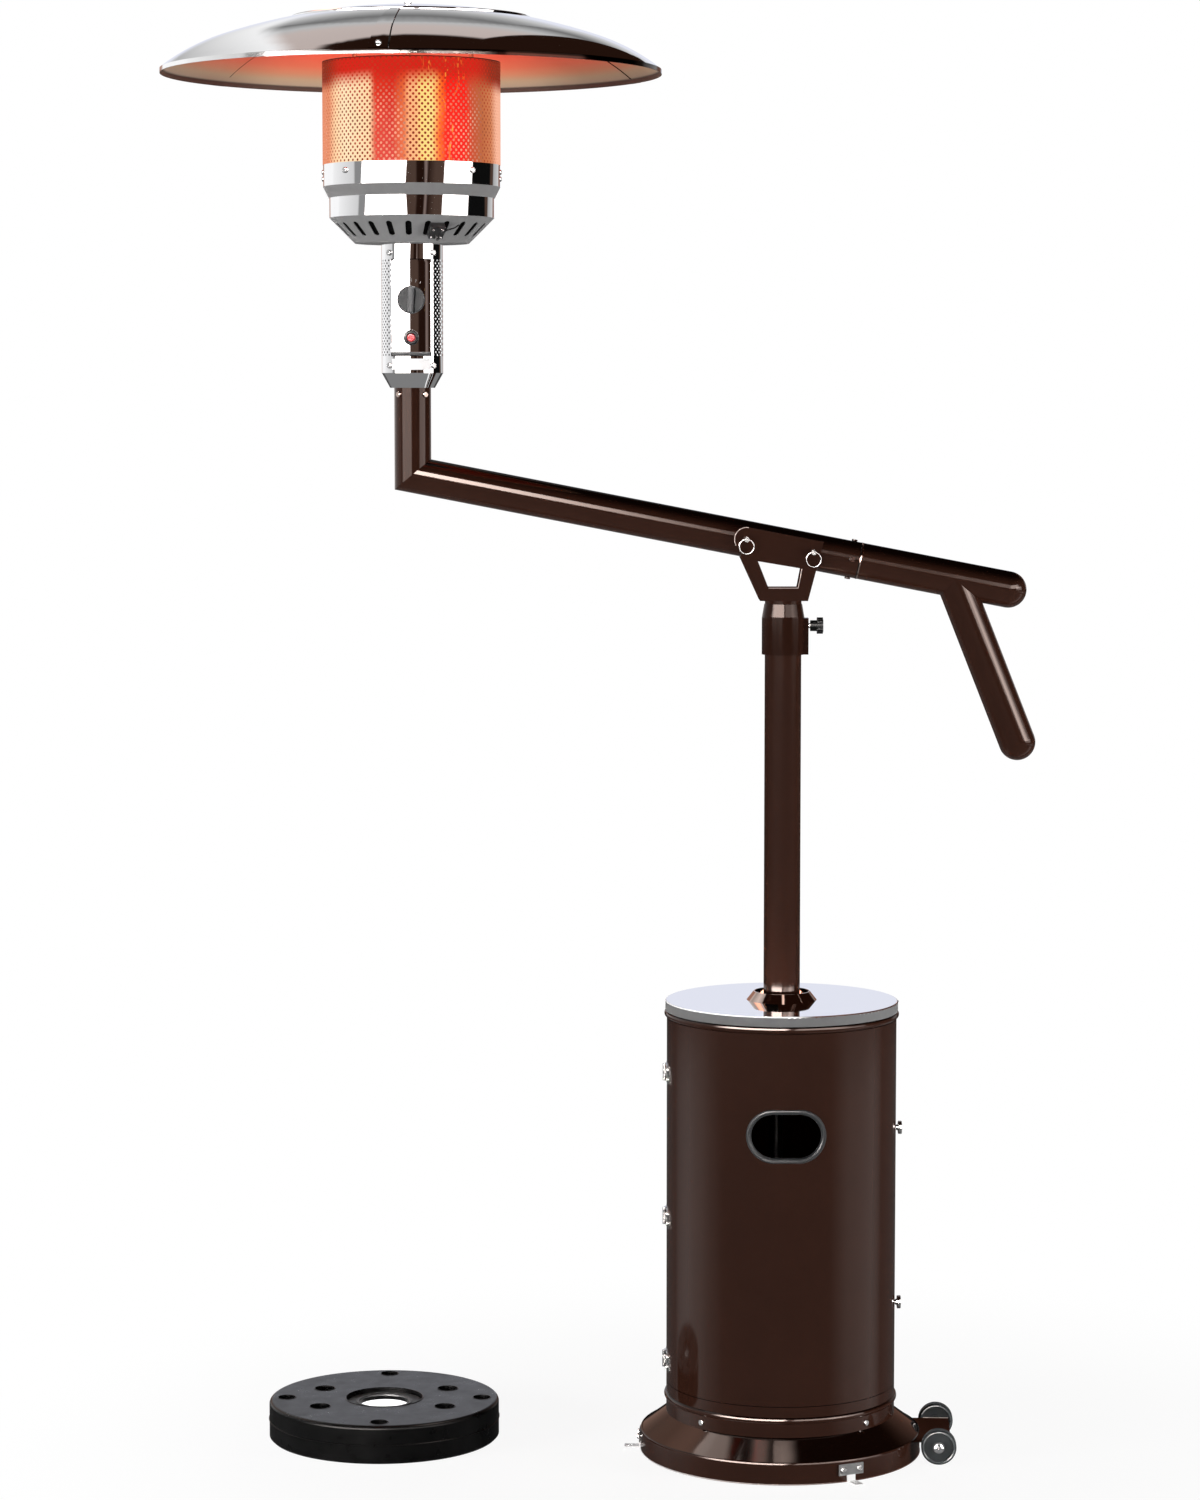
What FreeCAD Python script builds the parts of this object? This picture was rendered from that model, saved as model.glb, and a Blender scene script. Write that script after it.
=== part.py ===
import FreeCAD
import Part
import Sketcher
import os
import re

# Cantilever patio heater: a cylinder housing on a round base, a pole, a swivelling arm and a heater head.
# Millimetres, +Z up, -Y is the front. The origin is the centre of the base on the floor, on the pole's axis.

# Driving sizes. Every value is a length in millimetres, or an angle in degrees where the name ends in _deg.
SIZES = {
    # Clearances
    "fit_gap": 0.3, "run_gap": 0.08,
    # Base skirt, platform and ballast
    "base_r": 233, "rim_height": 35, "base_wall": 2, "foot_lip": 8, "skirt_top": 67, "seat_width": 18,
    "platform_thick": 3, "ridge_r": 115, "ridge_width": 4, "ridge_rise": 6,
    "ballast_x": -666, "ballast_y": 88, "ballast_r": 194, "ballast_height": 64, "ballast_edge": 7,
    "recess_r": 64.5, "recess_depth": 8, "centre_hole_r": 41, "hub_lip": 6, "hub_hollow_r": 62,
    "key_width": 16, "key_reach": 53, "seam_half": 0.7, "seam_proud": 0.6,
    "well_r": 17, "well_ring_r": 121, "well_depth": 16, "plug_r": 14.5, "plug_ring_r": 165, "plug_depth": 14,
    # Housing
    "shell_r": 190, "shell_wall": 1.5, "ring_height": 50, "lower_bead_rise": 27.5, "bead_r": 5.5,
    "bead_reach": 3.5,
    "shell_height": 612.5, "upper_ring_height": 11.5, "upper_bead_reach": 4,
    "cover_skirt": 16.5, "cover_reach": 2.5, "cover_wall": 1.5, "cover_edge": 3,
    "leg_r": 10, "leg_wall": 1.5, "leg_ring_r": 172, "plate_thick": 5, "plate_drop": 1,
    # Door, hinges and latches
    "door_clear": 1, "door_seam_deg": 0.25, "stop_deg": 7, "stop_wall": 1.5,
    "grommet_rise": 445, "grommet_width": 130, "grommet_height": 88, "grommet_lip": 8.5, "grommet_proud": 3,
    "grommet_sleeve": 1.8, "grommet_back": 5,
    "hinge_rise": 277.5, "hinge_pitch": 241.5, "hinge_height": 28, "knuckle_r": 3.2, "hinge_pin_r": 1.6,
    "knuckle_stand": 0.4, "middle_knuckle": 10, "leaf_wall": 1.6, "leaf_start_deg": 2.2, "leaf_deg": 11,
    "leaf_web": 9, "leaf_screw_deg": 9, "leaf_screw_pitch": 16, "leaf_screw_r": 3.2, "leaf_screw_head": 1.8,
    "latch_rise": 281, "latch_spread": 147, "latch_inset": 11.6, "latch_r": 3, "latch_head_r": 11,
    "latch_head": 6, "latch_neck_r": 5, "latch_neck": 3, "latch_slot": 8,
    # Fasteners
    "screw_head_r": 4.8, "screw_head": 3, "screw_r": 2, "screw_length": 8,
    # Anchors and wheels
    "base_turn_deg": -3, "anchor_width": 45, "anchor_height": 18, "anchor_z": 12, "anchor_tab": 15,
    "anchor_wall": 2, "anchor_reach": 27, "anchor_hole_r": 3.5, "anchor_hole_x": 250, "anchor_screw_y": 15,
    "wheel_x": 262, "wheel_z": 29.2, "wheel_r": 29, "wheel_width": 18, "wheel_offset": 87, "wheel_dish_r": 25,
    "wheel_dish": 2, "wheel_hub_r": 9, "wheel_edge": 2, "axle_r": 3, "axle_cap_r": 6.5, "axle_cap": 4,
    "ear_wall": 2, "ear_gap": 1.5, "ear_width": 34, "ear_drop": 17, "bracket_end": 21, "bracket_wall": 2,
    # Pole and swivel
    "pole_r": 30, "tube_wall": 2, "pole_length": 618, "foot_r": 52, "foot_thick": 6,
    "flange_r": 58, "flange_top_r": 46.5, "flange_height": 14.5, "flange_wall": 1.5,
    "collar_r": 35, "collar_height": 60, "collar_cone": 23, "collar_lip": 1, "collar_drop": 28,
    "boss_reach": 41.3, "boss_width": 22, "clamp_rise": 47, "stud_r": 4, "stud_tip": 0.6,
    "hub_stand": 3.2, "hub_r": 9, "hub_length": 11, "lobe_ring_r": 10, "lobe_r": 4, "knob_core_r": 11.5,
    "clamp_head": 10, "stub_rise": 6, "stub_plate": 4,
    # Arm bracket and lock pins
    "cheek_wall": 4, "cheek_gap": 0, "cheek_half": 39, "arm_rise": 88.7, "arm_slope_deg": 10.92,
    "left_pin": 62.8, "right_pin": 48.7, "cheek_lobe_r": 20, "cheek_end": 13, "cheek_side_x": -72,
    "cheek_side_rise": 72, "window_rise": 21, "window_left": -43, "window_right": 29,
    "window_low_left": -25.5,
    "window_low_right": 23, "window_top_left": 65, "window_top_right": 53,
    "pin_r": 3, "pin_head_r": 4.5, "pin_head": 8, "pin_tip": 4, "eye_r": 2, "eye_back": 4,
    "pull_ring_r": 12, "pull_wire_r": 1,
    # Arm and tail
    "arm_r": 30, "head_reach": 607, "joint_at": 125.9, "spigot": 50, "spigot_wall": 2, "tail_at": 376,
    "grip_at": 284.6, "grip_length": 288.9, "grip_lean_deg": 21.65, "joint_screw_back": 13,
    # Head post and control housing
    "post_length": 141.2, "head_spigot": 31, "post_bolt_drop": 11, "cone_height": 24, "cone_r": 36.5,
    "cone_wall": 1.6, "guard_r": 50, "guard_wall": 1, "ring_band": 27, "guard_height": 157, "neck_height": 26,
    "panel_half": 33, "panel_wall": 2, "panel_low": 7, "panel_high": 1, "panel_lip": 6,
    "knob_rise": 91, "knob_r": 22.5, "knob_disc": 5, "grip_bar": 10, "grip_bar_proud": 12, "push_gap": 3.6,
    "spindle_r": 3, "spindle_depth": 12, "valve_width": 44, "valve_depth": 46, "valve_height": 40,
    "igniter_rise": 30, "bezel_r": 12.5, "bezel": 2.5, "igniter_r": 9.5, "igniter_depth": 28, "button_r": 6.5,
    "button_proud": 5, "button_depth": 12, "neck_screw_drop": 16, "ring_screw_rise": 12,
    # Burner cup and emitter
    "cup_r": 93, "cup_floor_hole_r": 20, "cup_cone_height": 41, "cup_low_r": 134, "cup_low_height": 32,
    "cup_lip_r": 135, "cup_seat": 5, "cup_step": 18, "cup_top_r": 144, "cup_band": 35, "cup_wall": 1.2,
    "slot_width": 10, "slot_near": 99, "slot_far": 127, "cup_screw_rise": 22,
    "burner_r": 90, "burner_height": 24, "burner_rise": 60, "inlet_r": 8,
    "emitter_r": 144.5, "emitter_height": 164, "emitter_wall": 1, "lid_thick": 1.5,
    "switch_deg": -68, "switch_size": 24, "switch_thick": 12, "switch_lead_r": 3, "switch_lead": 8,
    # Reflector
    "rim_r": 406.5, "rim_lip": 7, "rim_drop": 19.5, "knee_r": 316, "knee_rise": 56, "dome_r": 985,
    "brow_r": 324,
    "dome_wall": 1.2, "panel_inner_r": 165, "cap_r": 195, "cap_wall": 1.2, "seam_deg": -94.5,
    "seam_lap_deg": 2.2,
    "stud_ring_r": 110, "reflector_stud_r": 4, "nut_r": 6, "nut_height": 3,
}

# Heights and places that follow from the driving sizes.
LEVELS = {
    "sill_z": "skirt_top + ring_height",
    "shell_top": "sill_z + shell_height",
    "cover_foot": "shell_top + upper_ring_height",
    "cover_top": "cover_foot + cover_skirt",
    "bay_r": "shell_r - shell_wall",
    "platform_top": "skirt_top + platform_thick",
    "pole_foot_z": "cover_foot - plate_drop",
    "pole_top": "pole_foot_z + pole_length",
    "collar_z": "pole_top - collar_drop",
    "collar_top": "collar_z + collar_height + collar_cone",
    "clamp_z": "collar_z + clamp_rise",
    "bracket_z": "collar_top + stub_rise",
    "cheek_face": "arm_r + cheek_gap",
    "cheek_front": "cheek_face + cheek_wall",
    "arm_z": "bracket_z + arm_rise",
    "elbow_z": "arm_z + head_reach * tan(arm_slope_deg)",
    "mitre_deg": "(90 - arm_slope_deg) / 2",
    "left_pin_x": "-left_pin * cos(arm_slope_deg)",
    "left_pin_z": "arm_z + left_pin * sin(arm_slope_deg)",
    "right_pin_x": "right_pin * cos(arm_slope_deg)",
    "right_pin_z": "arm_z - right_pin * sin(arm_slope_deg)",
    "post_top": "elbow_z + post_length",
    "ring_z": "post_top + cone_height",
    "guard_z": "ring_z + ring_band",
    "neck_z": "guard_z + guard_height",
    "cup_z": "neck_z + neck_height",
    "cup_low_z": "cup_z + cup_cone_height",
    "cup_step_z": "cup_low_z + cup_low_height",
    "cup_band_z": "cup_step_z + cup_step",
    "emitter_z": "cup_band_z + cup_band",
    "emitter_top": "emitter_z + emitter_height",
    "lid_top": "emitter_top + lid_thick",
    "rim_z": "lid_top - rim_drop",
    "knee_z": "rim_z + knee_rise",
    "dome_z": "knee_z - sqrt(dome_r ^ 2 - knee_r ^ 2)",
    "cap_out_r": "dome_r + cap_wall",
    "panel_back": "sqrt(guard_r ^ 2 - panel_half ^ 2)",
    "panel_face": "panel_back + panel_wall",
    "knob_z": "guard_z + knob_rise",
    "igniter_z": "guard_z + igniter_rise",
    "knob_back": "panel_face + push_gap",
    "hinge_x": "-(shell_r + knuckle_r + knuckle_stand)",
    "wheel_inner": "wheel_offset - wheel_width / 2",
    "wheel_outer": "wheel_offset + wheel_width / 2",
    "ear_face": "wheel_inner - ear_gap",
    "axle_top": "wheel_z + axle_r",
}

LEG_AZIMUTHS = (15, 90, 165)
RING_SCREW_AZIMUTHS = (45, 135, 225, 315)
ANCHOR_AZIMUTHS = (-60, 60, 180)
HINGE_STEPS = (-1, 0, 1)
LOBES = 5
SLOTS = 24
PANELS = 3
STUD_AZIMUTHS = (30, 150, 270)
HEAD_SCREW_AZIMUTHS = (-135, -45, 45, 135)
WELL_AZIMUTHS = (30, 150, 210, 330)
PLUG_AZIMUTHS = (0, 90, 180, 270)
REACH = 3000

X_AXIS = FreeCAD.Vector(1, 0, 0)
Y_AXIS = FreeCAD.Vector(0, 1, 0)
Z_AXIS = FreeCAD.Vector(0, 0, 1)
TO_FRONT = FreeCAD.Rotation(X_AXIS, 90)
TO_RIGHT = FreeCAD.Rotation(Y_AXIS, 90)

WORD = re.compile(r"[A-Za-z_][A-Za-z_0-9]*")

doc = FreeCAD.newDocument("cantilever_patio_heater")
sheet = doc.addObject("Spreadsheet::Sheet", "sizes")
nodes = []


def fill_sheet():
    """Write every driving size into the sheet, with its alias."""
    for row, (alias, size) in enumerate(SIZES.items(), start=1):
        sheet.set(f"A{row}", alias)
        sheet.set(f"B{row}", str(size))
        sheet.setAlias(f"B{row}", alias)
    doc.recompute()


def linked(expr, owner="sizes."):
    """Spell an expression out in the sheet's own cells."""
    def swap(match):
        word = match.group(0)
        if word in LEVELS:
            return "(" + linked(LEVELS[word], owner) + ")"
        return owner + word if word in SIZES else word
    return WORD.sub(swap, str(expr))


def size(expr):
    """The number that an expression has now."""
    return float(sheet.evalExpression(linked(expr, "")))


def bind(obj, **sizes):
    """Tie properties of an object to expressions."""
    for name, expr in sizes.items():
        obj.setExpression(name, linked(expr))
    return obj


def place(obj, x="0", y="0", z="0", turn=None):
    """Put an object at a point given by expressions, turned by a fixed rotation."""
    obj.Placement = FreeCAD.Placement(FreeCAD.Vector(), turn or FreeCAD.Rotation())
    for axis, expr in zip("xyz", (x, y, z)):
        if expr != "0":
            obj.setExpression("Placement.Base." + axis, linked(expr))
    return obj


def lean(obj, axis, expr):
    """Turn an object about one axis by an angle given by an expression."""
    obj.Placement = FreeCAD.Placement(obj.Placement.Base, FreeCAD.Rotation(axis, size(expr)))
    obj.setExpression("Placement.Rotation.Angle", linked(expr))
    return obj


def node(label, obj):
    """Name a finished sub-part."""
    obj.Label = label
    nodes.append(obj)
    return obj


def cylinder(name, radius, height, x="0", y="0", z="0", turn=None):
    """A round bar along Z, or along Z turned."""
    obj = doc.addObject("Part::Cylinder", name + "_round")
    return place(bind(obj, Radius=radius, Height=height), x, y, z, turn)


def box(name, length, width, height, x="0", y="0", z="0", turn=None):
    """A block with its low corner at the point."""
    obj = doc.addObject("Part::Box", name + "_block")
    return place(bind(obj, Length=length, Width=width, Height=height), x, y, z, turn)


def ball(name, radius, x="0", y="0", z="0"):
    """A whole sphere."""
    return place(bind(doc.addObject("Part::Sphere", name + "_ball"), Radius=radius), x, y, z)


def cut(name, base, tool):
    """One solid minus another."""
    obj = doc.addObject("Part::Cut", name + "_cut")
    obj.Base, obj.Tool = base, tool
    return obj


def common(name, base, tool):
    """What two solids share."""
    obj = doc.addObject("Part::Common", name + "_common")
    obj.Base, obj.Tool = base, tool
    return obj


def fuse(name, *pieces):
    """Several solids as one."""
    obj = doc.addObject("Part::MultiFuse", name + "_fuse")
    obj.Shapes = list(pieces)
    return obj


def group(name, pieces):
    """Several separate solids kept together."""
    obj = doc.addObject("Part::Compound", name + "_group")
    obj.Links = list(pieces)
    return obj


def tube(name, radius, wall, height, x="0", y="0", z="0", turn=None):
    """A straight tube."""
    outer = cylinder(name, radius, height, x, y, z, turn)
    return cut(name, outer, cylinder(name, f"{radius} - {wall}", height, x, y, z, turn))


def sector(name, radius, wall, height, z, start, sweep):
    """Part of a standing tube, from one azimuth through a sweep of degrees."""
    pieces = []
    for reach in (radius, f"{radius} - {wall}"):
        bar = bind(cylinder(name, reach, height, z=z), Angle=sweep)
        pieces.append(lean(bar, Z_AXIS, start))
    return cut(name, *pieces)


def arc_centre(first, last, radius, side):
    """Centre of an arc through two points, to the left (1) or right (-1) of the way between them."""
    chord = last - first
    middle = (first + last) * 0.5
    rise = max(radius ** 2 - (chord.Length / 2) ** 2, 0) ** 0.5
    return middle + FreeCAD.Vector(-chord.y, chord.x, 0).normalize() * (rise * side)


def add_edge(sketch, first, last, bend):
    """Draw one side of an outline, and say which of its ends comes first."""
    if bend is None:
        return sketch.addGeometry(Part.LineSegment(first, last), False), 1, 2
    radius, side = bend
    centre = arc_centre(first, last, size(radius), side)
    begin, end = (first, last) if side > 0 else (last, first)
    angles = [FreeCAD.Vector(1, 0, 0).getAngle(p - centre) * (1 if p.y >= centre.y else -1)
              for p in (begin, end)]
    circle = Part.Circle(centre, Z_AXIS, size(radius))
    index = sketch.addGeometry(Part.ArcOfCircle(circle, angles[0], angles[1]), False)
    sketch.setExpression(f"Constraints[{add_size(sketch, 'Radius', index, size(radius))}]", linked(radius))
    return (index, 1, 2) if side > 0 else (index, 2, 1)


def add_size(sketch, kind, *what):
    """Add one constraint and give its place in the list."""
    return sketch.addConstraint(Sketcher.Constraint(kind, *what))


def draw(sketch, outline):
    """Draw a closed outline. A corner is (x, y), or (x, y, (radius, side)) where an arc starts there."""
    corners = [FreeCAD.Vector(size(corner[0]), size(corner[1]), 0) for corner in outline]
    edges = []
    for index, corner in enumerate(outline):
        bend = corner[2] if len(corner) > 2 else None
        edges.append(add_edge(sketch, corners[index], corners[(index + 1) % len(corners)], bend))
    for index, (edge, begin, _) in enumerate(edges):
        before, _, end = edges[index - 1]
        add_size(sketch, "Coincident", before, end, edge, begin)
        for kind, expr in zip(("DistanceX", "DistanceY"), outline[index]):
            place_in_list = add_size(sketch, kind, -1, 1, edge, begin, size(expr))
            sketch.setExpression(f"Constraints[{place_in_list}]", linked(expr))


def new_sketch(body, role, name):
    """An empty sketch on one of the body's own planes."""
    plane = [part for part in body.Origin.OriginFeatures if part.Role == role][0]
    sketch = body.newObject("Sketcher::SketchObject", name)
    sketch.AttachmentSupport = (plane, [""])
    sketch.MapMode = "FlatFace"
    return sketch


def turned(name, outline, x="0", y="0", z="0", turn=None, sweep="360"):
    """A body turned on a lathe: the outline is radius and height about the body's own Z axis."""
    body = doc.addObject("PartDesign::Body", name + "_body")
    sketch = new_sketch(body, "XZ_Plane", name + "_outline")
    draw(sketch, outline)
    revolution = body.newObject("PartDesign::Revolution", name + "_turn")
    revolution.Profile = sketch
    revolution.ReferenceAxis = (sketch, ["V_Axis"])
    bind(revolution, Angle=sweep)
    return place(body, x, y, z, turn)


def padded(name, outline, depth, y):
    """A flat plate that stands in the XZ plane, its outline drawn in X and Z and its back face at y."""
    body = doc.addObject("PartDesign::Body", name + "_body")
    sketch = new_sketch(body, "XZ_Plane", name + "_outline")
    draw(sketch, outline)
    pad = body.newObject("PartDesign::Pad", name + "_pad")
    pad.Profile = sketch
    bind(pad, Length=depth)
    return place(body, y=y)


def rim_point(radius, azimuth):
    """X and Y of a point round the pole's axis."""
    return f"{radius} * cos({azimuth})", f"{radius} * sin({azimuth})"


def radial(azimuth):
    """A turn that points Z outwards at an azimuth."""
    return FreeCAD.Rotation(Z_AXIS, azimuth) * TO_RIGHT


def screw(name, surface, azimuth, z, x="0", head_r="screw_head_r", head="screw_head", y="0"):
    """A pan-head screw that enters a round wall from outside."""
    east, north = rim_point(f"({surface} - screw_length)", azimuth)
    shank = cylinder(name, "screw_r", "screw_length", f"{x} + {east}", f"{y} + {north}", z, radial(azimuth))
    east, north = rim_point(f"({surface})", azimuth)
    cap = cylinder(name, head_r, head, f"{x} + {east}", f"{y} + {north}", z, radial(azimuth))
    return fuse(name, shank, cap)


# Base and ballast


def base_skirt():
    outline = [
        ("shell_r", "skirt_top"), ("base_r", "rim_height"), ("base_r", "0"), ("base_r - foot_lip", "0"),
        ("base_r - foot_lip", "base_wall"), ("base_r - base_wall", "base_wall"),
        ("base_r - base_wall", "rim_height - base_wall / 2"),
        ("shell_r - base_wall / 2", "skirt_top - base_wall"),
        ("shell_r - seat_width", "skirt_top - base_wall"),
        ("shell_r - seat_width", "skirt_top"),
    ]
    node("base_skirt", turned("base_skirt", outline))


def tank_platform():
    outline = [
        ("0", "skirt_top"), ("bay_r - fit_gap", "skirt_top"), ("bay_r - fit_gap", "platform_top"),
        ("ridge_r + ridge_width", "platform_top"), ("ridge_r + ridge_width", "platform_top + ridge_rise"),
        ("ridge_r", "platform_top + ridge_rise"), ("ridge_r", "platform_top"), ("0", "platform_top"),
    ]
    node("tank_platform", turned("tank_platform", outline))


def beaded_ring(label, height, z, bead_z, reach):
    """A housing ring with a round bead rolled outwards."""
    wall = cylinder(label, "shell_r", height, z=z)
    bead = doc.addObject("Part::Torus", label + "_bead")
    bind(bead, Radius1=f"shell_r + {reach} - bead_r", Radius2="bead_r")
    place(bead, z=bead_z)
    node(label, cut(label, fuse(label, wall, bead), cylinder(label, "bay_r", height, z=z)))


def ballast_reservoir():
    low, high, middle = "0", "ballast_height", "ballast_height / 2"
    lip_top, lip_foot = "ballast_height - recess_depth", "ballast_height - recess_depth - hub_lip"
    outline = [
        ("hub_hollow_r", low), ("ballast_r - ballast_edge / 2", low), ("ballast_r", "ballast_edge / 2"),
        ("ballast_r", f"{middle} - seam_half"), ("ballast_r + seam_proud", f"{middle} - seam_half"),
        ("ballast_r + seam_proud", f"{middle} + seam_half"), ("ballast_r", f"{middle} + seam_half"),
        ("ballast_r", "ballast_height - ballast_edge", ("ballast_edge", 1)),
        ("ballast_r - ballast_edge", high), ("recess_r", high), ("recess_r", lip_top),
        ("centre_hole_r", lip_top), ("centre_hole_r", lip_foot), ("hub_hollow_r", lip_foot),
    ]
    disc = turned("ballast", outline)
    hollows = [box("ballast_key", "key_reach", "key_width", "ballast_height", y="-key_width / 2")]
    for radius, ring, depth, azimuths in (
            ("well_r", "well_ring_r", "well_depth", WELL_AZIMUTHS),
            ("plug_r", "plug_ring_r", "plug_depth", PLUG_AZIMUTHS)):
        for azimuth in azimuths:
            east, north = rim_point(ring, azimuth)
            hollows.append(cylinder("ballast_well", radius, depth, east, north, f"ballast_height - {depth}"))
    reservoir = cut("ballast", disc, group("ballast_hollows", hollows))
    node("ballast_reservoir", place(reservoir, "ballast_x", "ballast_y"))


def base_screws():
    screws = [screw("ring_screw", "shell_r", azimuth, "skirt_top + lower_bead_rise / 2.5")
              for azimuth in RING_SCREW_AZIMUTHS]
    for azimuth in ANCHOR_AZIMUTHS:
        for side in ("-anchor_screw_y", "anchor_screw_y"):
            place_z = "anchor_z + anchor_height / 2"
            shank = cylinder("anchor_screw", "screw_r", "screw_length",
                             "base_r + anchor_wall - screw_length", side,
                             place_z, TO_RIGHT)
            cap = cylinder("anchor_screw", "screw_head_r", "screw_head", "base_r + anchor_wall", side,
                           place_z,
                           TO_RIGHT)
            screws.append(lean(fuse("anchor_screw", shank, cap), Z_AXIS, f"base_turn_deg + {azimuth}"))
    node("base_screws", group("base_screws", screws))


def anchor_brackets():
    brackets = []
    for azimuth in ANCHOR_AZIMUTHS:
        plate = box("anchor", "anchor_wall", "anchor_width", "anchor_height", "base_r", "-anchor_width / 2",
                    "anchor_z")
        tab = box("anchor", "anchor_wall", "anchor_tab", "anchor_z", "base_r", "-anchor_tab / 2")
        foot = box("anchor", "anchor_reach", "anchor_tab", "anchor_wall", "base_r", "-anchor_tab / 2")
        holes = [cylinder("anchor_hole", "anchor_hole_r", "anchor_wall", "anchor_hole_x")]
        for side in ("-anchor_screw_y", "anchor_screw_y"):
            holes.append(cylinder("anchor_hole", "screw_r + run_gap", "anchor_wall", "base_r", side,
                                  "anchor_z + anchor_height / 2", TO_RIGHT))
        bracket = cut("anchor", fuse("anchor", plate, tab, foot), group("anchor_holes", holes))
        brackets.append(lean(bracket, Z_AXIS, f"base_turn_deg + {azimuth}"))
    node("anchor_brackets", group("anchor_brackets", brackets))


# Wheels


def wheel_bracket():
    top = "axle_top + fit_gap"
    plate = box("wheel_bracket", "bracket_end + wheel_x", "2 * ear_face", "bracket_wall", "0", "-ear_face",
                top)
    ears = []
    for y in ("-ear_face", "ear_face - ear_wall"):
        ears.append(box("wheel_ear", "ear_width", "ear_wall", "ear_drop", "wheel_x - ear_width / 2", y,
                        f"{top} - ear_drop + bracket_wall"))
    bracket = cut("wheel_bracket", fuse("wheel_bracket", plate, *ears),
                  cylinder("wheel_bracket_rim", "base_r", str(REACH)))
    bore = cylinder("wheel_bracket_bore", "axle_r", "2 * wheel_outer", "wheel_x", "wheel_outer",
                    "wheel_z", TO_FRONT)
    node("wheel_bracket", lean(cut("wheel_bracket", bracket, bore), Z_AXIS, "base_turn_deg"))


def wheel_axle():
    end = "wheel_outer + fit_gap"
    outline = [
        ("0", f"-({end}) - axle_cap"), ("axle_cap_r / 2", f"-({end}) - axle_cap"),
        ("axle_cap_r", f"-({end})"),
        ("axle_r", f"-({end})"), ("axle_r", end), ("axle_cap_r", end),
        ("axle_cap_r / 2", f"{end} + axle_cap"),
        ("0", f"{end} + axle_cap"),
    ]
    axle = turned("wheel_axle", outline, "wheel_x", "0", "wheel_z", TO_FRONT)
    node("wheel_axle", lean(group("wheel_axle", [axle]), Z_AXIS, "base_turn_deg"))


def wheel(label, y):
    half, dish = "wheel_width / 2", "wheel_width / 2 - wheel_dish"
    outline = [
        ("axle_r + run_gap", f"-{half}"), ("wheel_hub_r", f"-{half}"), ("wheel_hub_r", f"-({dish})"),
        ("wheel_dish_r", f"-({dish})"), ("wheel_dish_r", f"-{half}"), ("wheel_r - wheel_edge", f"-{half}"),
        ("wheel_r", f"-{half} + wheel_edge"), ("wheel_r", f"{half} - wheel_edge"),
        ("wheel_r - wheel_edge", half),
        ("wheel_dish_r", half), ("wheel_dish_r", dish), ("wheel_hub_r", dish), ("wheel_hub_r", half),
        ("axle_r + run_gap", half),
    ]
    roller = turned(label, outline, "wheel_x", y, "wheel_z", TO_FRONT)
    node(label, lean(group(label, [roller]), Z_AXIS, "base_turn_deg"))


# Housing


def rear_shell():
    wall = sector("rear_shell", "shell_r", "shell_wall", "shell_height", "sill_z", "0", "180")
    strip = sector("door_stop", "bay_r - fit_gap", "stop_wall", "shell_height", "sill_z", "-stop_deg",
                   "2 * stop_deg")
    seat = sector("door_stop_seat", "shell_r - shell_wall / 2", "fit_gap + shell_wall / 2 + stop_wall / 2",
                  "shell_height", "sill_z", "0", "stop_deg")
    holes = group("latch_holes", [
        cylinder("latch_hole", "latch_r + run_gap", "shell_r", "0", "-latch_inset", latch_z(side), TO_RIGHT)
        for side in (-1, 1)])
    node("rear_shell", cut("rear_shell", fuse("rear_shell", wall, strip, seat), holes))


def top_cover():
    edge = "shell_r + cover_reach"
    outline = [
        ("pole_r + fit_gap", "cover_top"), (f"{edge} - cover_edge", "cover_top", ("cover_edge", -1)),
        (edge, "cover_top - cover_edge"), (edge, "cover_foot"),
        (f"{edge} - cover_wall - cover_reach", "cover_foot"),
        (f"{edge} - cover_wall - cover_reach", "cover_foot + cover_wall"),
        (f"{edge} - cover_wall", "cover_foot + cover_wall"),
        (f"{edge} - cover_wall", "cover_top - cover_edge"),
        (f"{edge} - cover_edge", "cover_top - cover_wall"), ("pole_r + fit_gap", "cover_top - cover_wall"),
    ]
    node("top_cover", turned("top_cover", outline))


def support_legs():
    legs = []
    for azimuth in LEG_AZIMUTHS:
        east, north = rim_point("leg_ring_r", azimuth)
        legs.append(tube("support_leg", "leg_r", "leg_wall", "pole_foot_z - plate_thick - platform_top",
                         east, north,
                         "platform_top"))
    node("support_legs", group("support_legs", legs))


def pole_plate():
    node("pole_plate", cylinder("pole_plate", "bay_r - fit_gap", "plate_thick",
                                z="pole_foot_z - plate_thick"))


def stadium(name, width, height):
    """A long-holed prism through the front of the door."""
    flat = f"(({width}) - ({height}))"
    z = "sill_z + grommet_rise"
    middle = box(name, flat, "shell_r", height, f"-{flat} / 2", "-shell_r - grommet_proud - shell_wall",
                 f"{z} - ({height}) / 2")
    ends = [cylinder(name, f"({height}) / 2", "shell_r", f"{side}{flat} / 2", "-grommet_proud - shell_wall",
                     z, TO_FRONT)
            for side in ("-", "")]
    return fuse(name, middle, *ends)


def door_panel():
    wall = sector("door", "shell_r", "shell_wall", "shell_height - 2 * door_clear", "sill_z + door_clear",
                  "180 + door_seam_deg", "180 - 2 * door_seam_deg")
    hole = stadium("door_hole", "grommet_width - 2 * grommet_lip + 2 * (grommet_sleeve + fit_gap)",
                   "grommet_height - 2 * grommet_lip + 2 * (grommet_sleeve + fit_gap)")
    slots = [box("latch_slot", "shell_r", "2 * latch_inset", "latch_slot", "0",
                 "-latch_inset - latch_slot / 2",
                 f"{latch_z(side)} - latch_slot / 2") for side in (-1, 1)]
    node("door_panel", cut("door_panel", wall, group("door_openings", [hole, *slots])))


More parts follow.
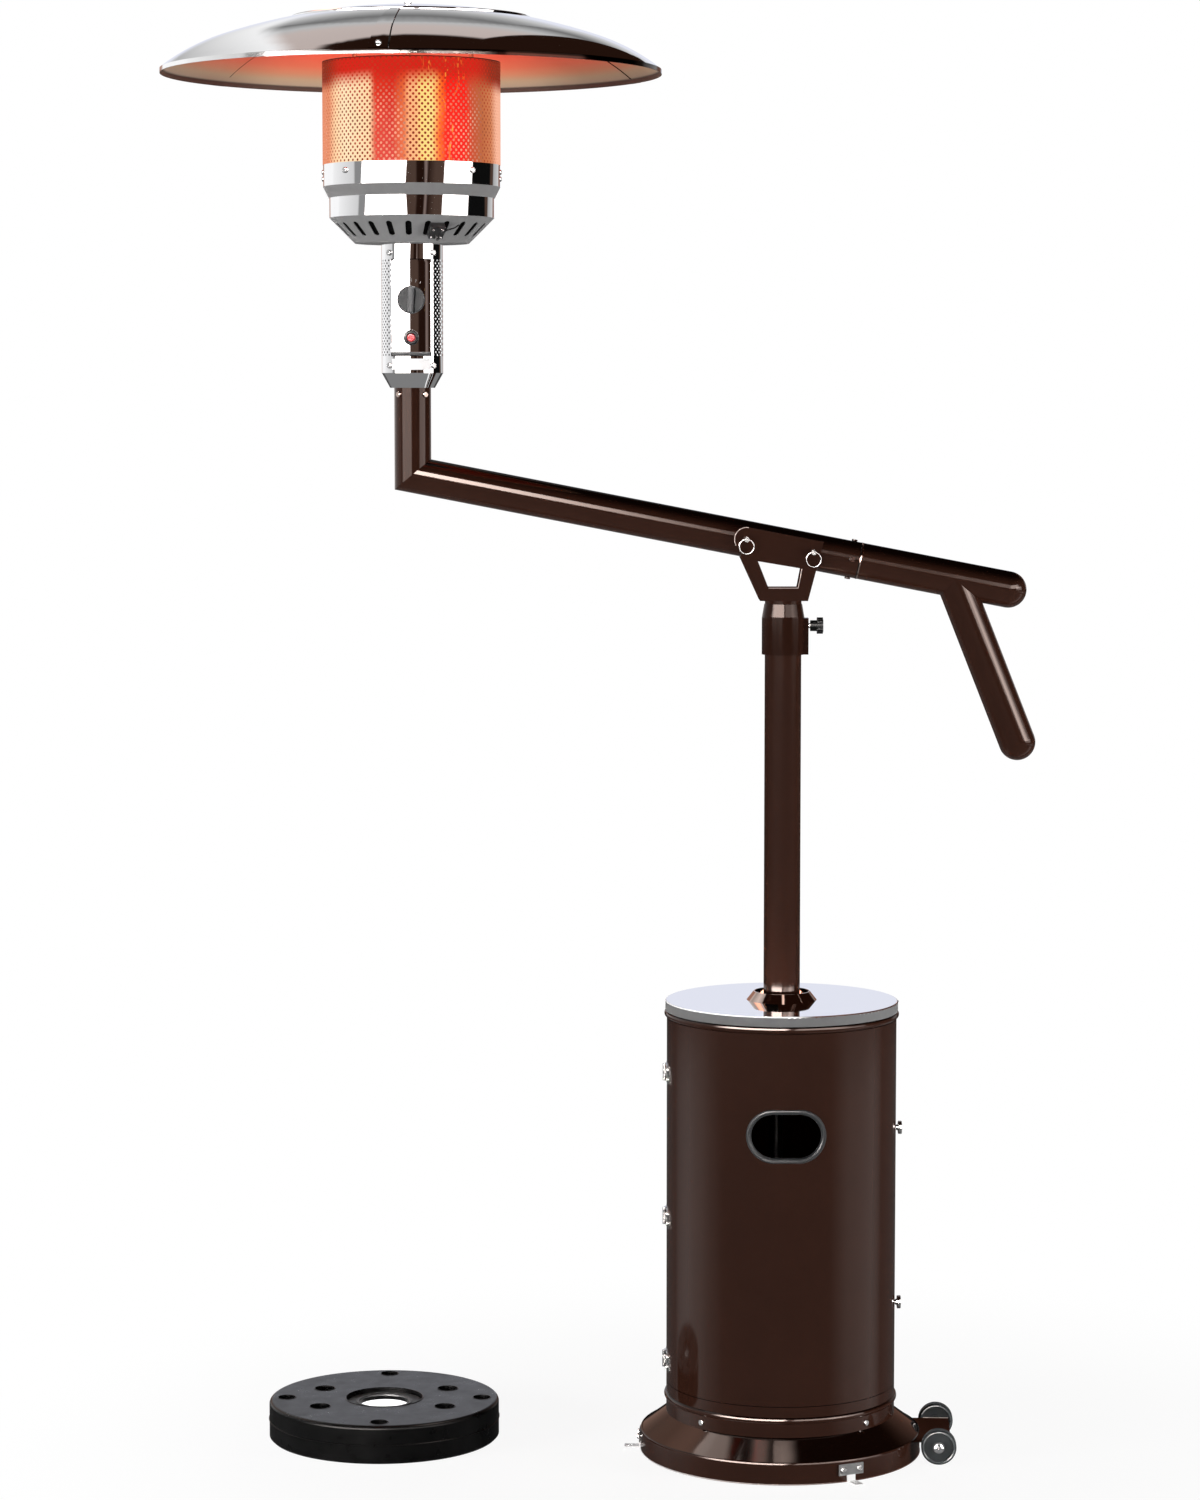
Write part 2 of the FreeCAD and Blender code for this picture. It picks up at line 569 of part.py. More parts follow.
def door_grommet():
    lip = common("grommet_lip", stadium("grommet_lip", "grommet_width", "grommet_height"),
                 sector("grommet_lip", "shell_r + grommet_proud", "grommet_proud", "shell_height", "sill_z",
                        "180",
                        "180"))
    inner = ("grommet_width - 2 * grommet_lip", "grommet_height - 2 * grommet_lip")
    sleeve = common("grommet_sleeve",
                    stadium("grommet_sleeve", *(f"{span} + 2 * grommet_sleeve" for span in inner)),
                    sector("grommet_sleeve", "shell_r + grommet_proud", "grommet_proud + grommet_back",
                           "shell_height", "sill_z", "180", "180"))
    hole = stadium("grommet_hole", *inner)
    node("door_grommet", cut("door_grommet", fuse("door_grommet", lip, sleeve), hole))


def hinge_z(step):
    """Middle height of one hinge."""
    return f"sill_z + hinge_rise + ({step}) * hinge_pitch"


def latch_z(side):
    """Height of one latch screw."""
    return f"(sill_z + latch_rise + ({side}) * latch_spread)"


def leaf(name, low, height, start, web_y):
    """A hinge leaf: a curved plate on the housing, with a web to its knuckle."""
    plate = sector(name, "shell_r + leaf_wall", "leaf_wall", "hinge_height", "0", start, "leaf_deg")
    place(plate, z=low)
    web = box(name, "knuckle_r", "leaf_web", height, "hinge_x", web_y)
    return plate, web, cylinder(name, "knuckle_r", height, "hinge_x")


def door_leaves():
    leaves = []
    for step in HINGE_STEPS:
        low = f"{hinge_z(step)} - hinge_height / 2"
        middle = f"{hinge_z(step)} - middle_knuckle / 2"
        plate, web, knuckle = leaf("door_leaf", low, "middle_knuckle", "180 + leaf_start_deg", "-leaf_web")
        joined = fuse("door_leaf", plate, place(web, "hinge_x", "-leaf_web", middle),
                      place(knuckle, "hinge_x", "0", middle))
        bore = cylinder("door_leaf_bore", "hinge_pin_r + run_gap", "middle_knuckle", "hinge_x", "0", middle)
        leaves.append(cut("door_leaf", joined, bore))
    node("hinge_leaves_door", group("hinge_leaves_door", leaves))


def rear_leaves():
    leaves = []
    side_knuckle = "((hinge_height - middle_knuckle) / 2 - fit_gap)"
    for step in HINGE_STEPS:
        low = f"{hinge_z(step)} - hinge_height / 2"
        high = f"{hinge_z(step)} + middle_knuckle / 2 + fit_gap"
        pieces = [cylinder("hinge_pin", "hinge_pin_r", "hinge_height", "hinge_x", "0", low)]
        for z in (low, high):
            plate, web, knuckle = leaf("rear_leaf", low, side_knuckle, "180 - leaf_start_deg - leaf_deg", "0")
            pieces += [plate, place(web, "hinge_x", "0", z), place(knuckle, "hinge_x", "0", z)]
        leaves.append(fuse("rear_leaf", *pieces))
    node("hinge_leaves_rear", group("hinge_leaves_rear", leaves))


def hinge_screws():
    screws = []
    for step in HINGE_STEPS:
        for side in ("-", "+"):
            z = f"{hinge_z(step)} {side} leaf_screw_pitch / 2"
            east, north = rim_point("(shell_r + leaf_wall)", "180 + leaf_screw_deg")
            turn = radial(180 + SIZES["leaf_screw_deg"])
            screws.append(cylinder("hinge_screw", "leaf_screw_r", "leaf_screw_head", east, north, z, turn))
    node("hinge_screws", group("hinge_screws", screws))


def latch_screw(label, side):
    start = "bay_r - fit_gap - stop_wall - screw_length"
    face = "shell_r + fit_gap"
    outline = [
        ("0", start), ("latch_r", start), ("latch_r", face), ("latch_neck_r", face),
        ("latch_neck_r", f"{face} + latch_neck"), ("latch_head_r", f"{face} + latch_neck"),
        ("latch_head_r", f"{face} + latch_neck + latch_head"), ("0", f"{face} + latch_neck + latch_head"),
    ]
    node(label, turned(label, outline, "0", "-latch_inset", latch_z(side), TO_RIGHT))


# Pole and swivel


def lower_pole():
    foot = cylinder("pole_foot", "foot_r", "foot_thick", z="pole_foot_z")
    bar = cylinder("pole", "pole_r", "pole_length", z="pole_foot_z")
    bore = cylinder("pole_bore", "pole_r - tube_wall", "pole_length", z="pole_foot_z")
    node("lower_pole", cut("lower_pole", fuse("lower_pole", bar, foot), bore))


def flange_ring():
    outline = [
        ("flange_r", "cover_top"), ("flange_top_r", "cover_top + flange_height"),
        ("flange_top_r - flange_wall", "cover_top + flange_height"),
        ("flange_r - 2 * flange_wall", "cover_top + flange_wall"),
        ("pole_r + fit_gap", "cover_top + flange_wall"), ("pole_r + fit_gap", "cover_top"),
    ]
    node("flange_ring", turned("flange_ring", outline))


def swivel_collar():
    bore = "pole_r + run_gap"
    outline = [
        ("pole_r", "collar_z"), ("collar_r", "collar_z"), ("collar_r", "collar_z + collar_height"),
        (f"{bore} + collar_lip", "collar_top"), (bore, "collar_top"), (bore, "pole_top"),
        ("pole_r", "pole_top"),
    ]
    boss = box("collar_boss", "boss_reach", "boss_width", "collar_height", "0", "-boss_width / 2", "collar_z")
    hollow = fuse("collar_hollow", cylinder("collar_seat", "pole_r", "collar_height", z="collar_z"),
                  cylinder("collar_bore", bore, "collar_height", z="pole_top"),
                  cylinder("clamp_hole", "stud_r + run_gap", "boss_reach", z="clamp_z", turn=TO_RIGHT))
    node("swivel_collar", cut("swivel_collar", fuse("swivel_collar", turned("collar", outline), boss),
                              hollow))


def clamp_knob():
    start = "pole_r + stud_tip"
    hub = "boss_reach + hub_stand"
    stud = cylinder("clamp_stud", "stud_r", f"{hub} - ({start})", start, z="clamp_z", turn=TO_RIGHT)
    node("clamp_stud", stud)
    head = f"{hub} + hub_length"
    pieces = [cylinder("clamp_hub", "hub_r", "hub_length", hub, z="clamp_z", turn=TO_RIGHT),
              cylinder("clamp_core", "knob_core_r", "clamp_head", head, z="clamp_z", turn=TO_RIGHT)]
    for lobe in range(LOBES):
        azimuth = 360 * lobe / LOBES
        y, z = rim_point("lobe_ring_r", azimuth)
        pieces.append(cylinder("clamp_lobe", "lobe_r", "clamp_head", head, y, f"clamp_z + {z}", TO_RIGHT))
    node("clamp_knob", fuse("clamp_knob", *pieces))


# Arm bracket


def swivel_stub():
    length = "bracket_z - pole_top - run_gap"
    sleeve = tube("swivel_stub", "pole_r", "tube_wall", length, z="pole_top + run_gap")
    plate = box("stub_plate", "2 * cheek_half", "2 * cheek_face", "stub_plate", "-cheek_half", "-cheek_face",
                "bracket_z")
    node("swivel_stub", fuse("swivel_stub", sleeve, plate))


def cheek(label, y):
    rise, run = "cos(arm_slope_deg)", "sin(arm_slope_deg)"
    end_x, end_z = f"(right_pin_x + cheek_end * {rise})", f"(right_pin_z - cheek_end * {run})"
    outline = [
        ("-cheek_half", "bracket_z"), ("cheek_half", "bracket_z"),
        (f"{end_x} + cheek_lobe_r * {run}", f"{end_z} + cheek_lobe_r * {rise}"),
        (f"left_pin_x + cheek_lobe_r * {run}", f"left_pin_z + cheek_lobe_r * {rise}"),
        ("left_pin_x", "left_pin_z"), ("cheek_side_x", "bracket_z + cheek_side_rise"),
    ]
    plate = padded(label, outline, "cheek_wall", y)
    lobe = cylinder(label, "cheek_lobe_r", "cheek_wall", "left_pin_x", y, "left_pin_z", TO_FRONT)
    window = padded(label + "_window", [
        ("window_low_left", "bracket_z + window_rise"), ("window_low_right", "bracket_z + window_rise"),
        ("window_right", "bracket_z + window_top_right"), ("window_left", "bracket_z + window_top_left")],
        "cheek_wall", y)
    holes = [cylinder(label, "pin_r + run_gap", "cheek_wall", f"{side}_pin_x", y, f"{side}_pin_z", TO_FRONT)
             for side in ("left", "right")]
    node(label, cut(label, fuse(label, plate, lobe), group(label + "_openings", [window, *holes])))


def lock_pin(label, side):
    head, tip = "cheek_front + fit_gap", "-cheek_front - pin_tip"
    outline = [
        ("0", tip), ("pin_r / 2", tip), ("pin_r", f"{tip} + pin_r / 2"), ("pin_r", head),
        ("pin_head_r", head),
        ("pin_head_r", f"{head} + pin_head"), ("0", f"{head} + pin_head"),
    ]
    pin = turned(label, outline, f"{side}_pin_x", "0", f"{side}_pin_z", TO_FRONT)
    eye = cylinder(label + "_eye", "eye_r", "4 * pin_head_r", f"{side}_pin_x - 2 * pin_head_r",
                   f"-({head}) - eye_back", f"{side}_pin_z", TO_RIGHT)
    node(label, cut(label, pin, eye))


def pull_ring(label, side):
    ring = bind(doc.addObject("Part::Torus", label + "_ring"), Radius1="pull_ring_r", Radius2="pull_wire_r")
    z = f"{side}_pin_z - pull_ring_r + fit_gap"
    node(label, place(ring, f"{side}_pin_x", "-(cheek_front + fit_gap) - eye_back", z, TO_FRONT))


# Arm


def along(distance):
    """X and Z of a point on the arm's axis, at a distance from the pole's axis."""
    return f"({distance}) * cos(arm_slope_deg)", f"arm_z - ({distance}) * sin(arm_slope_deg)"


def arm_bar(name, radius, start, length):
    """A round bar along the arm's axis."""
    x, z = along(start)
    return lean(cylinder(name, radius, length, x, z=z), Y_AXIS, "90 + arm_slope_deg")


def mitre_block(name, upper):
    """A block on one side of the mitre plane at the elbow."""
    reach = "4 * arm_r"
    side = "0" if upper else reach
    x = f"-head_reach - {reach} * cos(mitre_deg) + {side} * sin(mitre_deg)"
    z = f"elbow_z - {reach} * sin(mitre_deg) - {side} * cos(mitre_deg)"
    block = box(name, f"2 * {reach}", "4 * arm_r", reach, x, "-2 * arm_r", z)
    return lean(block, Y_AXIS, "-mitre_deg")


def arm_tube():
    start = "-head_reach / cos(arm_slope_deg) - 2 * arm_r"
    length = "joint_at + head_reach / cos(arm_slope_deg) + 2 * arm_r"
    bar = cut("arm_tube", arm_bar("arm_tube", "arm_r", start, length),
              arm_bar("arm_tube_bore", "arm_r - tube_wall", start, length))
    mitred = cut("arm_tube", bar, mitre_block("arm_mitre", True))
    holes = [cylinder("pin_hole", "pin_r + run_gap", "4 * arm_r", f"{side}_pin_x", "2 * arm_r",
                      f"{side}_pin_z", TO_FRONT)
             for side in ("left", "right")]
    node("arm_tube", cut("arm_tube", mitred, group("pin_holes", holes)))


def head_post():
    post = tube("head_post", "arm_r", "tube_wall", "post_length + 2 * arm_r", "-head_reach",
                z="elbow_z - 2 * arm_r")
    node("head_post", cut("head_post", post, mitre_block("post_mitre", False)))


def tail_tube():
    x, z = along("tail_at")
    bar = arm_bar("tail", "arm_r", "joint_at", "tail_at - joint_at")
    outer = fuse("tail", bar, ball("tail", "arm_r", x, z=z))
    spigot = arm_bar("tail_spigot", "arm_r - tube_wall - fit_gap", "joint_at - spigot", "2 * spigot")
    inner = fuse("tail_inner", arm_bar("tail_inner", "arm_r - tube_wall - fit_gap - spigot_wall",
                                       "joint_at - spigot", "tail_at - joint_at + spigot"),
                 ball("tail_inner", "arm_r - tube_wall - fit_gap - spigot_wall", x, z=z))
    node("tail_tube", cut("tail_tube", fuse("tail_outer", outer, spigot), inner))


def grip_bar(name, radius):
    """A round bar with a round end, along the grip's axis."""
    x, z = along("grip_at")
    bar = lean(cylinder(name, radius, "grip_length", x, z=z), Y_AXIS, "180 - grip_lean_deg")
    end = ball(name, radius, f"{x} + grip_length * sin(grip_lean_deg)",
               z=f"{z} - grip_length * cos(grip_lean_deg)")
    return fuse(name, bar, end)


def tail_grip():
    grip = cut("tail_grip", grip_bar("grip", "arm_r"), grip_bar("grip_bore", "arm_r - tube_wall"))
    saddle = arm_bar("grip_saddle", "arm_r", "joint_at", "tail_at")
    node("tail_grip", cut("tail_grip", grip, saddle))


def arm_screws():
    screws = [screw("post_bolt", "arm_r", azimuth, "post_top - post_bolt_drop", "-head_reach")
              for azimuth in HEAD_SCREW_AZIMUTHS]
    x, z = along("joint_at - joint_screw_back")
    for tilt in (0, 90, 180, 270):
        shank = cylinder("joint_screw", "screw_r", "screw_length", "0", "0", "arm_r - screw_length")
        cap = cylinder("joint_screw", "screw_head_r", "screw_head", "0", "0", "arm_r")
        turn = FreeCAD.Rotation(Y_AXIS, SIZES["arm_slope_deg"]) * FreeCAD.Rotation(X_AXIS, tilt)
        screws.append(place(fuse("joint_screw", shank, cap), x, "0", z, turn))
    node("arm_screws", group("arm_screws", screws))


# Control housing


def head_part(label, outline):
    """A lathe-turned piece on the head's axis."""
    node(label, turned(label, outline, "-head_reach"))


def control_cone():
    sleeve, bore = "arm_r - tube_wall - fit_gap", "arm_r - 2 * tube_wall - fit_gap"
    head_part("control_cone", [
        (bore, "post_top - head_spigot"), (sleeve, "post_top - head_spigot"), (sleeve, "post_top"),
        ("cone_r", "post_top"), ("guard_r", "ring_z"), ("guard_r", "guard_z"),
        ("guard_r - cone_wall", "guard_z"),
        ("guard_r - cone_wall", "ring_z + cone_wall / 2"), ("cone_r - cone_wall / 2", "post_top + cone_wall"),
        (bore, "post_top + cone_wall"),
    ])


def control_guard():
    wrap = tube("control_guard", "guard_r", "guard_wall", "guard_height", "-head_reach", z="guard_z")
    front = box("guard_front", "2 * panel_half", "guard_r", "guard_height", "-head_reach - panel_half",
                "-guard_r - panel_wall",
                "guard_z")
    node("control_guard", cut("control_guard", wrap, front))


def control_panel():
    left, low = "-head_reach - panel_half", "guard_z + panel_low"
    high = "guard_height - panel_low - panel_high"
    plate = box("control_panel", "2 * panel_half", "panel_wall", high, left, "-panel_face", low)
    lips = [box("panel_lip", "2 * panel_half", "panel_lip + panel_wall", "panel_wall", left, "-panel_face", z)
            for z in (low, "neck_z - panel_high - panel_wall")]
    holes = [cylinder("panel_hole", radius, "2 * panel_wall", "-head_reach", "-panel_back + panel_wall / 2",
                      z, TO_FRONT)
             for radius, z in (("spindle_r + run_gap", "knob_z"), ("igniter_r + fit_gap", "igniter_z"))]
    sheet = fuse("control_panel", plate, *lips)
    node("control_panel", cut("control_panel", sheet, group("panel_holes", holes)))


def neck_ring():
    wall = "guard_r - cone_wall"
    head_part("neck_ring", [
        ("guard_r", "neck_z"), ("guard_r", "cup_z"), ("cup_floor_hole_r", "cup_z"),
        ("cup_floor_hole_r", "cup_z - cone_wall"), (wall, "cup_z - cone_wall"), (wall, "neck_z"),
    ])


def head_screws():
    screws = []
    for azimuth in HEAD_SCREW_AZIMUTHS:
        screws.append(screw("neck_screw", "guard_r", azimuth, "cup_z - neck_screw_drop", "-head_reach"))
        screws.append(screw("ring_screw", "guard_r", azimuth, "ring_z + ring_screw_rise", "-head_reach"))
        screws.append(screw("cup_screw", "cup_top_r", azimuth, "cup_band_z + cup_screw_rise", "-head_reach"))
    node("head_screws", group("head_screws", screws))


def valve_body():
    block = box("valve", "valve_width", "valve_depth", "valve_height", "-head_reach - valve_width / 2",
                "-panel_back",
                "knob_z - valve_height / 2")
    bore = cylinder("valve_bore", "spindle_r + run_gap", "spindle_depth + push_gap", "-head_reach",
                    "-panel_back + spindle_depth + push_gap", "knob_z", TO_FRONT)
    node("valve_body", cut("valve_body", block, bore))


def valve_spindle():
    start, end = "panel_back - spindle_depth", "knob_back + knob_disc"
    node("valve_spindle", cylinder("valve_spindle", "spindle_r", f"{end} - ({start})", "-head_reach",
                                   f"-({start})", "knob_z", TO_FRONT))


def control_knob():
    disc = cylinder("knob", "knob_r", "knob_disc", "-head_reach", "-knob_back", "knob_z", TO_FRONT)
    bar = box("knob_bar", "grip_bar", "grip_bar_proud", "2 * knob_r - grip_bar / 2",
              "-head_reach - grip_bar / 2",
              "-knob_back - knob_disc - grip_bar_proud", "knob_z - knob_r + grip_bar / 4")
    bore = cylinder("knob_bore", "spindle_r + run_gap", "knob_disc + fit_gap", "-head_reach", "-knob_back",
                    "knob_z",
                    TO_FRONT)
    node("control_knob", cut("control_knob", fuse("control_knob", disc, bar), bore))


def igniter():
    back, face = "panel_back - igniter_depth", "panel_face"
    bore = "button_r + run_gap"
    body = [
        ("0", back), ("igniter_r", back), ("igniter_r", face), ("bezel_r", face),
        ("bezel_r", f"{face} + bezel / 2"),
        ("bezel_r - bezel / 2", f"{face} + bezel"), (bore, f"{face} + bezel"),
        (bore, "panel_back - 1.5 * button_depth"),
        ("0", "panel_back - 1.5 * button_depth"),
    ]
    node("igniter_body", turned("igniter_body", body, "-head_reach", "0", "igniter_z", TO_FRONT))
    tip = f"{face} + bezel + button_proud"
    button = [
        ("0", "panel_back - button_depth / 2"), ("button_r", "panel_back - button_depth / 2"),
        ("button_r", f"{tip} - button_proud / 4"), ("button_r - button_proud / 4", tip), ("0", tip),
    ]
    node("igniter_button", turned("igniter_button", button, "-head_reach", "0", "igniter_z", TO_FRONT))


# Burner cup and emitter


def cup_lower():
    body = turned("cup_lower", [
        ("cup_floor_hole_r", "cup_z"), ("cup_r", "cup_z"), ("cup_low_r", "cup_low_z"),
        ("cup_low_r", "cup_step_z"),
        ("cup_low_r - cup_wall", "cup_step_z"), ("cup_low_r - cup_wall", "cup_low_z + cup_wall / 2"),
        ("cup_r - cup_wall / 2", "cup_z + cup_wall"), ("cup_floor_hole_r", "cup_z + cup_wall"),
    ], "-head_reach")
    sketch = new_sketch(body, "XY_Plane", "cup_slot_outline")
    half, bend = "slot_width / 2", ("0.6 * slot_width", 1)
    draw(sketch, [
        (f"slot_near + {half}", f"-{half}"), (f"slot_far - {half}", f"-{half}", bend),
        (f"slot_far - {half}", half), (f"slot_near + {half}", half, bend),
    ])
    pocket = body.newObject("PartDesign::Pocket", "cup_slot")
    pocket.Profile = sketch
    pocket.Reversed = True
    pocket.Length = REACH
    doc.recompute()
    pattern = body.newObject("PartDesign::PolarPattern", "cup_slots")
    pattern.Originals = [pocket]
    pattern.Axis = (sketch, ["N_Axis"])
    pattern.Angle = 360
    pattern.Occurrences = SLOTS
    body.Tip = pattern
    node("cup_lower", body)


def cup_upper():
    wall = "cup_top_r - cup_wall"
    head_part("cup_upper", [
        ("cup_lip_r - cup_seat", "cup_step_z"), ("cup_lip_r", "cup_step_z"), ("cup_top_r", "cup_band_z"),
        ("cup_top_r", "emitter_z"), (wall, "emitter_z"), (wall, "cup_band_z + cup_wall / 2"),
        ("cup_lip_r - cup_wall / 2", "cup_step_z + cup_wall"),
        ("cup_lip_r - cup_seat", "cup_step_z + cup_wall"),
    ])


def burner_head():
    low = "knob_z + valve_height / 2"
    top = "cup_z + burner_rise + burner_height"
    head_part("burner_head", [
        ("0", low), ("inlet_r", low), ("inlet_r", "cup_z + burner_rise"),
        ("burner_r", "cup_z + burner_rise + burner_height / 2"),
        ("burner_r", top), ("0", top),
    ])


def emitter():
    node("emitter_screen", tube("emitter_screen", "emitter_r", "emitter_wall", "emitter_height",
                                "-head_reach",
                                z="emitter_z"))
    node("emitter_lid", cylinder("emitter_lid", "emitter_r", "lid_thick", "-head_reach", z="emitter_top"))


def tilt_switch():
    case = box("tilt_switch", "switch_size", "switch_size", "switch_thick", "-switch_size / 2",
               "-switch_size / 2")
    lead = cylinder("switch_lead", "switch_lead_r", "switch_lead", "switch_size / 4", "0", "switch_thick")
    east, north = rim_point("(cup_r + cup_low_r) / 2", "switch_deg")
    turn = FreeCAD.Rotation(Z_AXIS, SIZES["switch_deg"]) * FreeCAD.Rotation(Y_AXIS, 135)
    body = place(fuse("tilt_switch", case, lead), f"-head_reach + {east}", north, "(cup_z + cup_low_z) / 2",
                 turn)
    node("tilt_switch", body)


# Reflector


def dome_height(radius, reach):
    """Height on the dome's crown, at a radius, of a sphere of a given reach."""
    return f"dome_z + sqrt(({reach}) ^ 2 - ({radius}) ^ 2)"


def dome_outline(lift, inner_r):
    """One panel's section from an inner radius to the rim lip, lifted off the dome by a thickness."""
    lean_x, lean_z = "knee_r / dome_r", "sqrt(1 - (knee_r / dome_r) ^ 2)"
    rows = []
    for gap in (f"({lift})", f"({lift} - dome_wall)"):
        rows.append([
            (inner_r, dome_height(inner_r, f"dome_r + {gap}"), (f"dome_r + {gap}", -1)),
            (f"knee_r + {gap} * {lean_x}", f"knee_z + {gap} * {lean_z}", (f"brow_r + {gap}", -1)),
            (f"rim_r + {gap}", "rim_z + rim_lip"), (f"rim_r + {gap}", "rim_z"),
        ])
    outer, inner = rows
    back = [inner[3], (*inner[2][:2], (inner[1][2][0], 1)), (*inner[1][:2], (inner[0][2][0], 1)),
            inner[0][:2]]
    return outer + back


def reflector_panel(index):
    label = f"reflector_panel_{index + 1}"
    sweep = 360 / PANELS
    skin = turned(label, dome_outline("0", "panel_inner_r"), sweep=str(sweep))
    lean(skin, Z_AXIS, f"seam_deg + {index * sweep}")
    lap = turned(label + "_lap", dome_outline("dome_wall", "(cap_r + fit_gap)"), sweep="2 * seam_lap_deg")
    lean(lap, Z_AXIS, f"seam_deg + {(index + 1) * sweep} - seam_lap_deg")
    node(label, place(fuse(label, skin, lap), "-head_reach"))


def reflector_cap():
    disc = turned("reflector_cap", [
        ("0", dome_height("0", "dome_r"), ("dome_r", -1)), ("cap_r", dome_height("cap_r", "dome_r")),
        ("cap_r", dome_height("cap_r", "cap_out_r"), ("cap_out_r", 1)), ("0", dome_height("0", "cap_out_r")),
    ], "-head_reach")
    holes = []
    for azimuth in STUD_AZIMUTHS:
        east, north = rim_point("stud_ring_r", azimuth)
        holes.append(cylinder("stud_hole", "reflector_stud_r + fit_gap", "dome_r", f"-head_reach + {east}",
                              north, "lid_top"))
    node("reflector_cap", cut("reflector_cap", disc, group("stud_holes", holes)))


def reflector_studs():
    studs = []
    seat = dome_height("stud_ring_r - nut_r", "cap_out_r")
    for azimuth in STUD_AZIMUTHS:
        east, north = rim_point("stud_ring_r", azimuth)
        x = f"-head_reach + {east}"
        rod = cylinder("reflector_stud", "reflector_stud_r", f"{seat} - lid_top", x, north, "lid_top")
        nut = cylinder("cap_nut", "nut_r", "nut_height / 2", x, north, seat)
        crown = cylinder("cap_nut", "nut_r / 2", "nut_height", x, north, seat)
        studs.append(fuse("reflector_stud", rod, nut, crown))
    node("reflector_studs", group("reflector_studs", studs))


def build_base():
    base_skirt()
    tank_platform()
    beaded_ring("lower_ring", "ring_height", "skirt_top", "skirt_top + lower_bead_rise", "bead_reach")
    base_screws()
    anchor_brackets()
    wheel_bracket()
    wheel_axle()
    wheel("wheel_front", "-wheel_offset")
    wheel("wheel_rear", "wheel_offset")
    ballast_reservoir()


def build_housing():
    rear_shell()
    beaded_ring("upper_ring", "upper_ring_height", "shell_top", "shell_top + upper_ring_height / 2",
                "upper_bead_reach")
    top_cover()
    support_legs()
    pole_plate()
    door_panel()
    door_grommet()
    door_leaves()
    rear_leaves()
    hinge_screws()
    latch_screw("latch_screw_lower", -1)
    latch_screw("latch_screw_upper", 1)


def build_pole():
    lower_pole()
    flange_ring()
    swivel_collar()
    clamp_knob()


def build_arm():
    swivel_stub()
    cheek("cheek_front", "-cheek_face")
    cheek("cheek_rear", "cheek_front")
    for side in ("left", "right"):
        lock_pin(f"lock_pin_{side}", side)
        pull_ring(f"pull_ring_{side}", side)
    arm_tube()
    head_post()
    tail_tube()
    tail_grip()
    arm_screws()


def build_head():
    control_cone()
    control_guard()
    control_panel()
    neck_ring()
    valve_body()
    valve_spindle()
    control_knob()
    igniter()
    cup_lower()
    cup_upper()
    burner_head()
    emitter()
    tilt_switch()
    head_screws()
    for index in range(PANELS):
        reflector_panel(index)
    reflector_cap()
    reflector_studs()


def check_document():
    """Stop if an object failed or a sub-part isn't a sound shape."""
    for obj in doc.Objects:
        if "Invalid" in obj.State or "Error" in obj.State:
            raise RuntimeError(f"{obj.Label} failed: {obj.State}")
    for obj in nodes:
        if obj.Shape.isNull() or not obj.Shape.isValid() or not obj.Shape.Solids:
            raise RuntimeError(f"{obj.Label} has no sound shape")


def write_parts():
    os.makedirs("parts", exist_ok=True)
    for obj in nodes:
        obj.Shape.exportStep(os.path.join("parts", obj.Label + ".step"))


def main():
    fill_sheet()
    build_base()
    build_housing()
    build_pole()
    build_arm()
    build_head()
    doc.recompute()
    check_document()
    write_parts()


main()
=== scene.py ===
import math

import bmesh
import bpy
from bpy.props import FloatProperty, FloatVectorProperty, IntProperty, PointerProperty
from mathutils import Matrix, Vector


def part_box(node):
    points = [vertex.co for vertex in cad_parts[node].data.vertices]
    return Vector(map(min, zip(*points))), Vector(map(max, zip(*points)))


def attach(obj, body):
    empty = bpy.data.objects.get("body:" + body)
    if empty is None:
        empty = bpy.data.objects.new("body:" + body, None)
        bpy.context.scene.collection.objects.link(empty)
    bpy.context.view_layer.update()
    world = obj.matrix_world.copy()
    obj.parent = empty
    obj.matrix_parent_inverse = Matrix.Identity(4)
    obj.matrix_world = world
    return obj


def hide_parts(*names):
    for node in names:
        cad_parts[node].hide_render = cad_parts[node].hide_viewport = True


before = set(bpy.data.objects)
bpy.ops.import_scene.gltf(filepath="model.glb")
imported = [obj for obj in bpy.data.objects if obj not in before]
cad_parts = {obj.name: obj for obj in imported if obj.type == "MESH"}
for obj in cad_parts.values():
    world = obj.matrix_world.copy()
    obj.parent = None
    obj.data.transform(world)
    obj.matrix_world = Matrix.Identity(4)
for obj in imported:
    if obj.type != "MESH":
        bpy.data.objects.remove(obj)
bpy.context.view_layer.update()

bl_info = {
    "name": "Cantilever Patio Heater",
    "version": (1, 0, 0),
    "blender": (4, 5, 0),
    "location": "View3D > Sidebar > Heater",
    "description": "Dresses a cantilever patio heater and sets it on a studio floor",
    "category": "Add Mesh",
}

MM = 0.001
UP = Vector((0, 0, 1))
FRONT, BACK = Vector((0, -1, 0)), Vector((0, 1, 0))


def middle(node):
    """Centre of a node's box."""
    low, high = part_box(node)
    return (low + high) / 2


def in_mm(*pairs):
    """Pairs of lengths that are given in millimetres."""
    return [(first * MM, second * MM) for first, second in pairs]


HEAD = middle("emitter_screen")
SCREEN_LOW, SCREEN_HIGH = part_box("emitter_screen")
GUARD_LOW, GUARD_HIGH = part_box("control_guard")
PANEL_LOW, PANEL_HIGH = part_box("control_panel")
REFLECTOR_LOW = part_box("reflector_panel_1")[0]
KNOB_LOW, KNOB_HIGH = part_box("control_knob")
RING_LOW, RING_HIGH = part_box("control_cone")

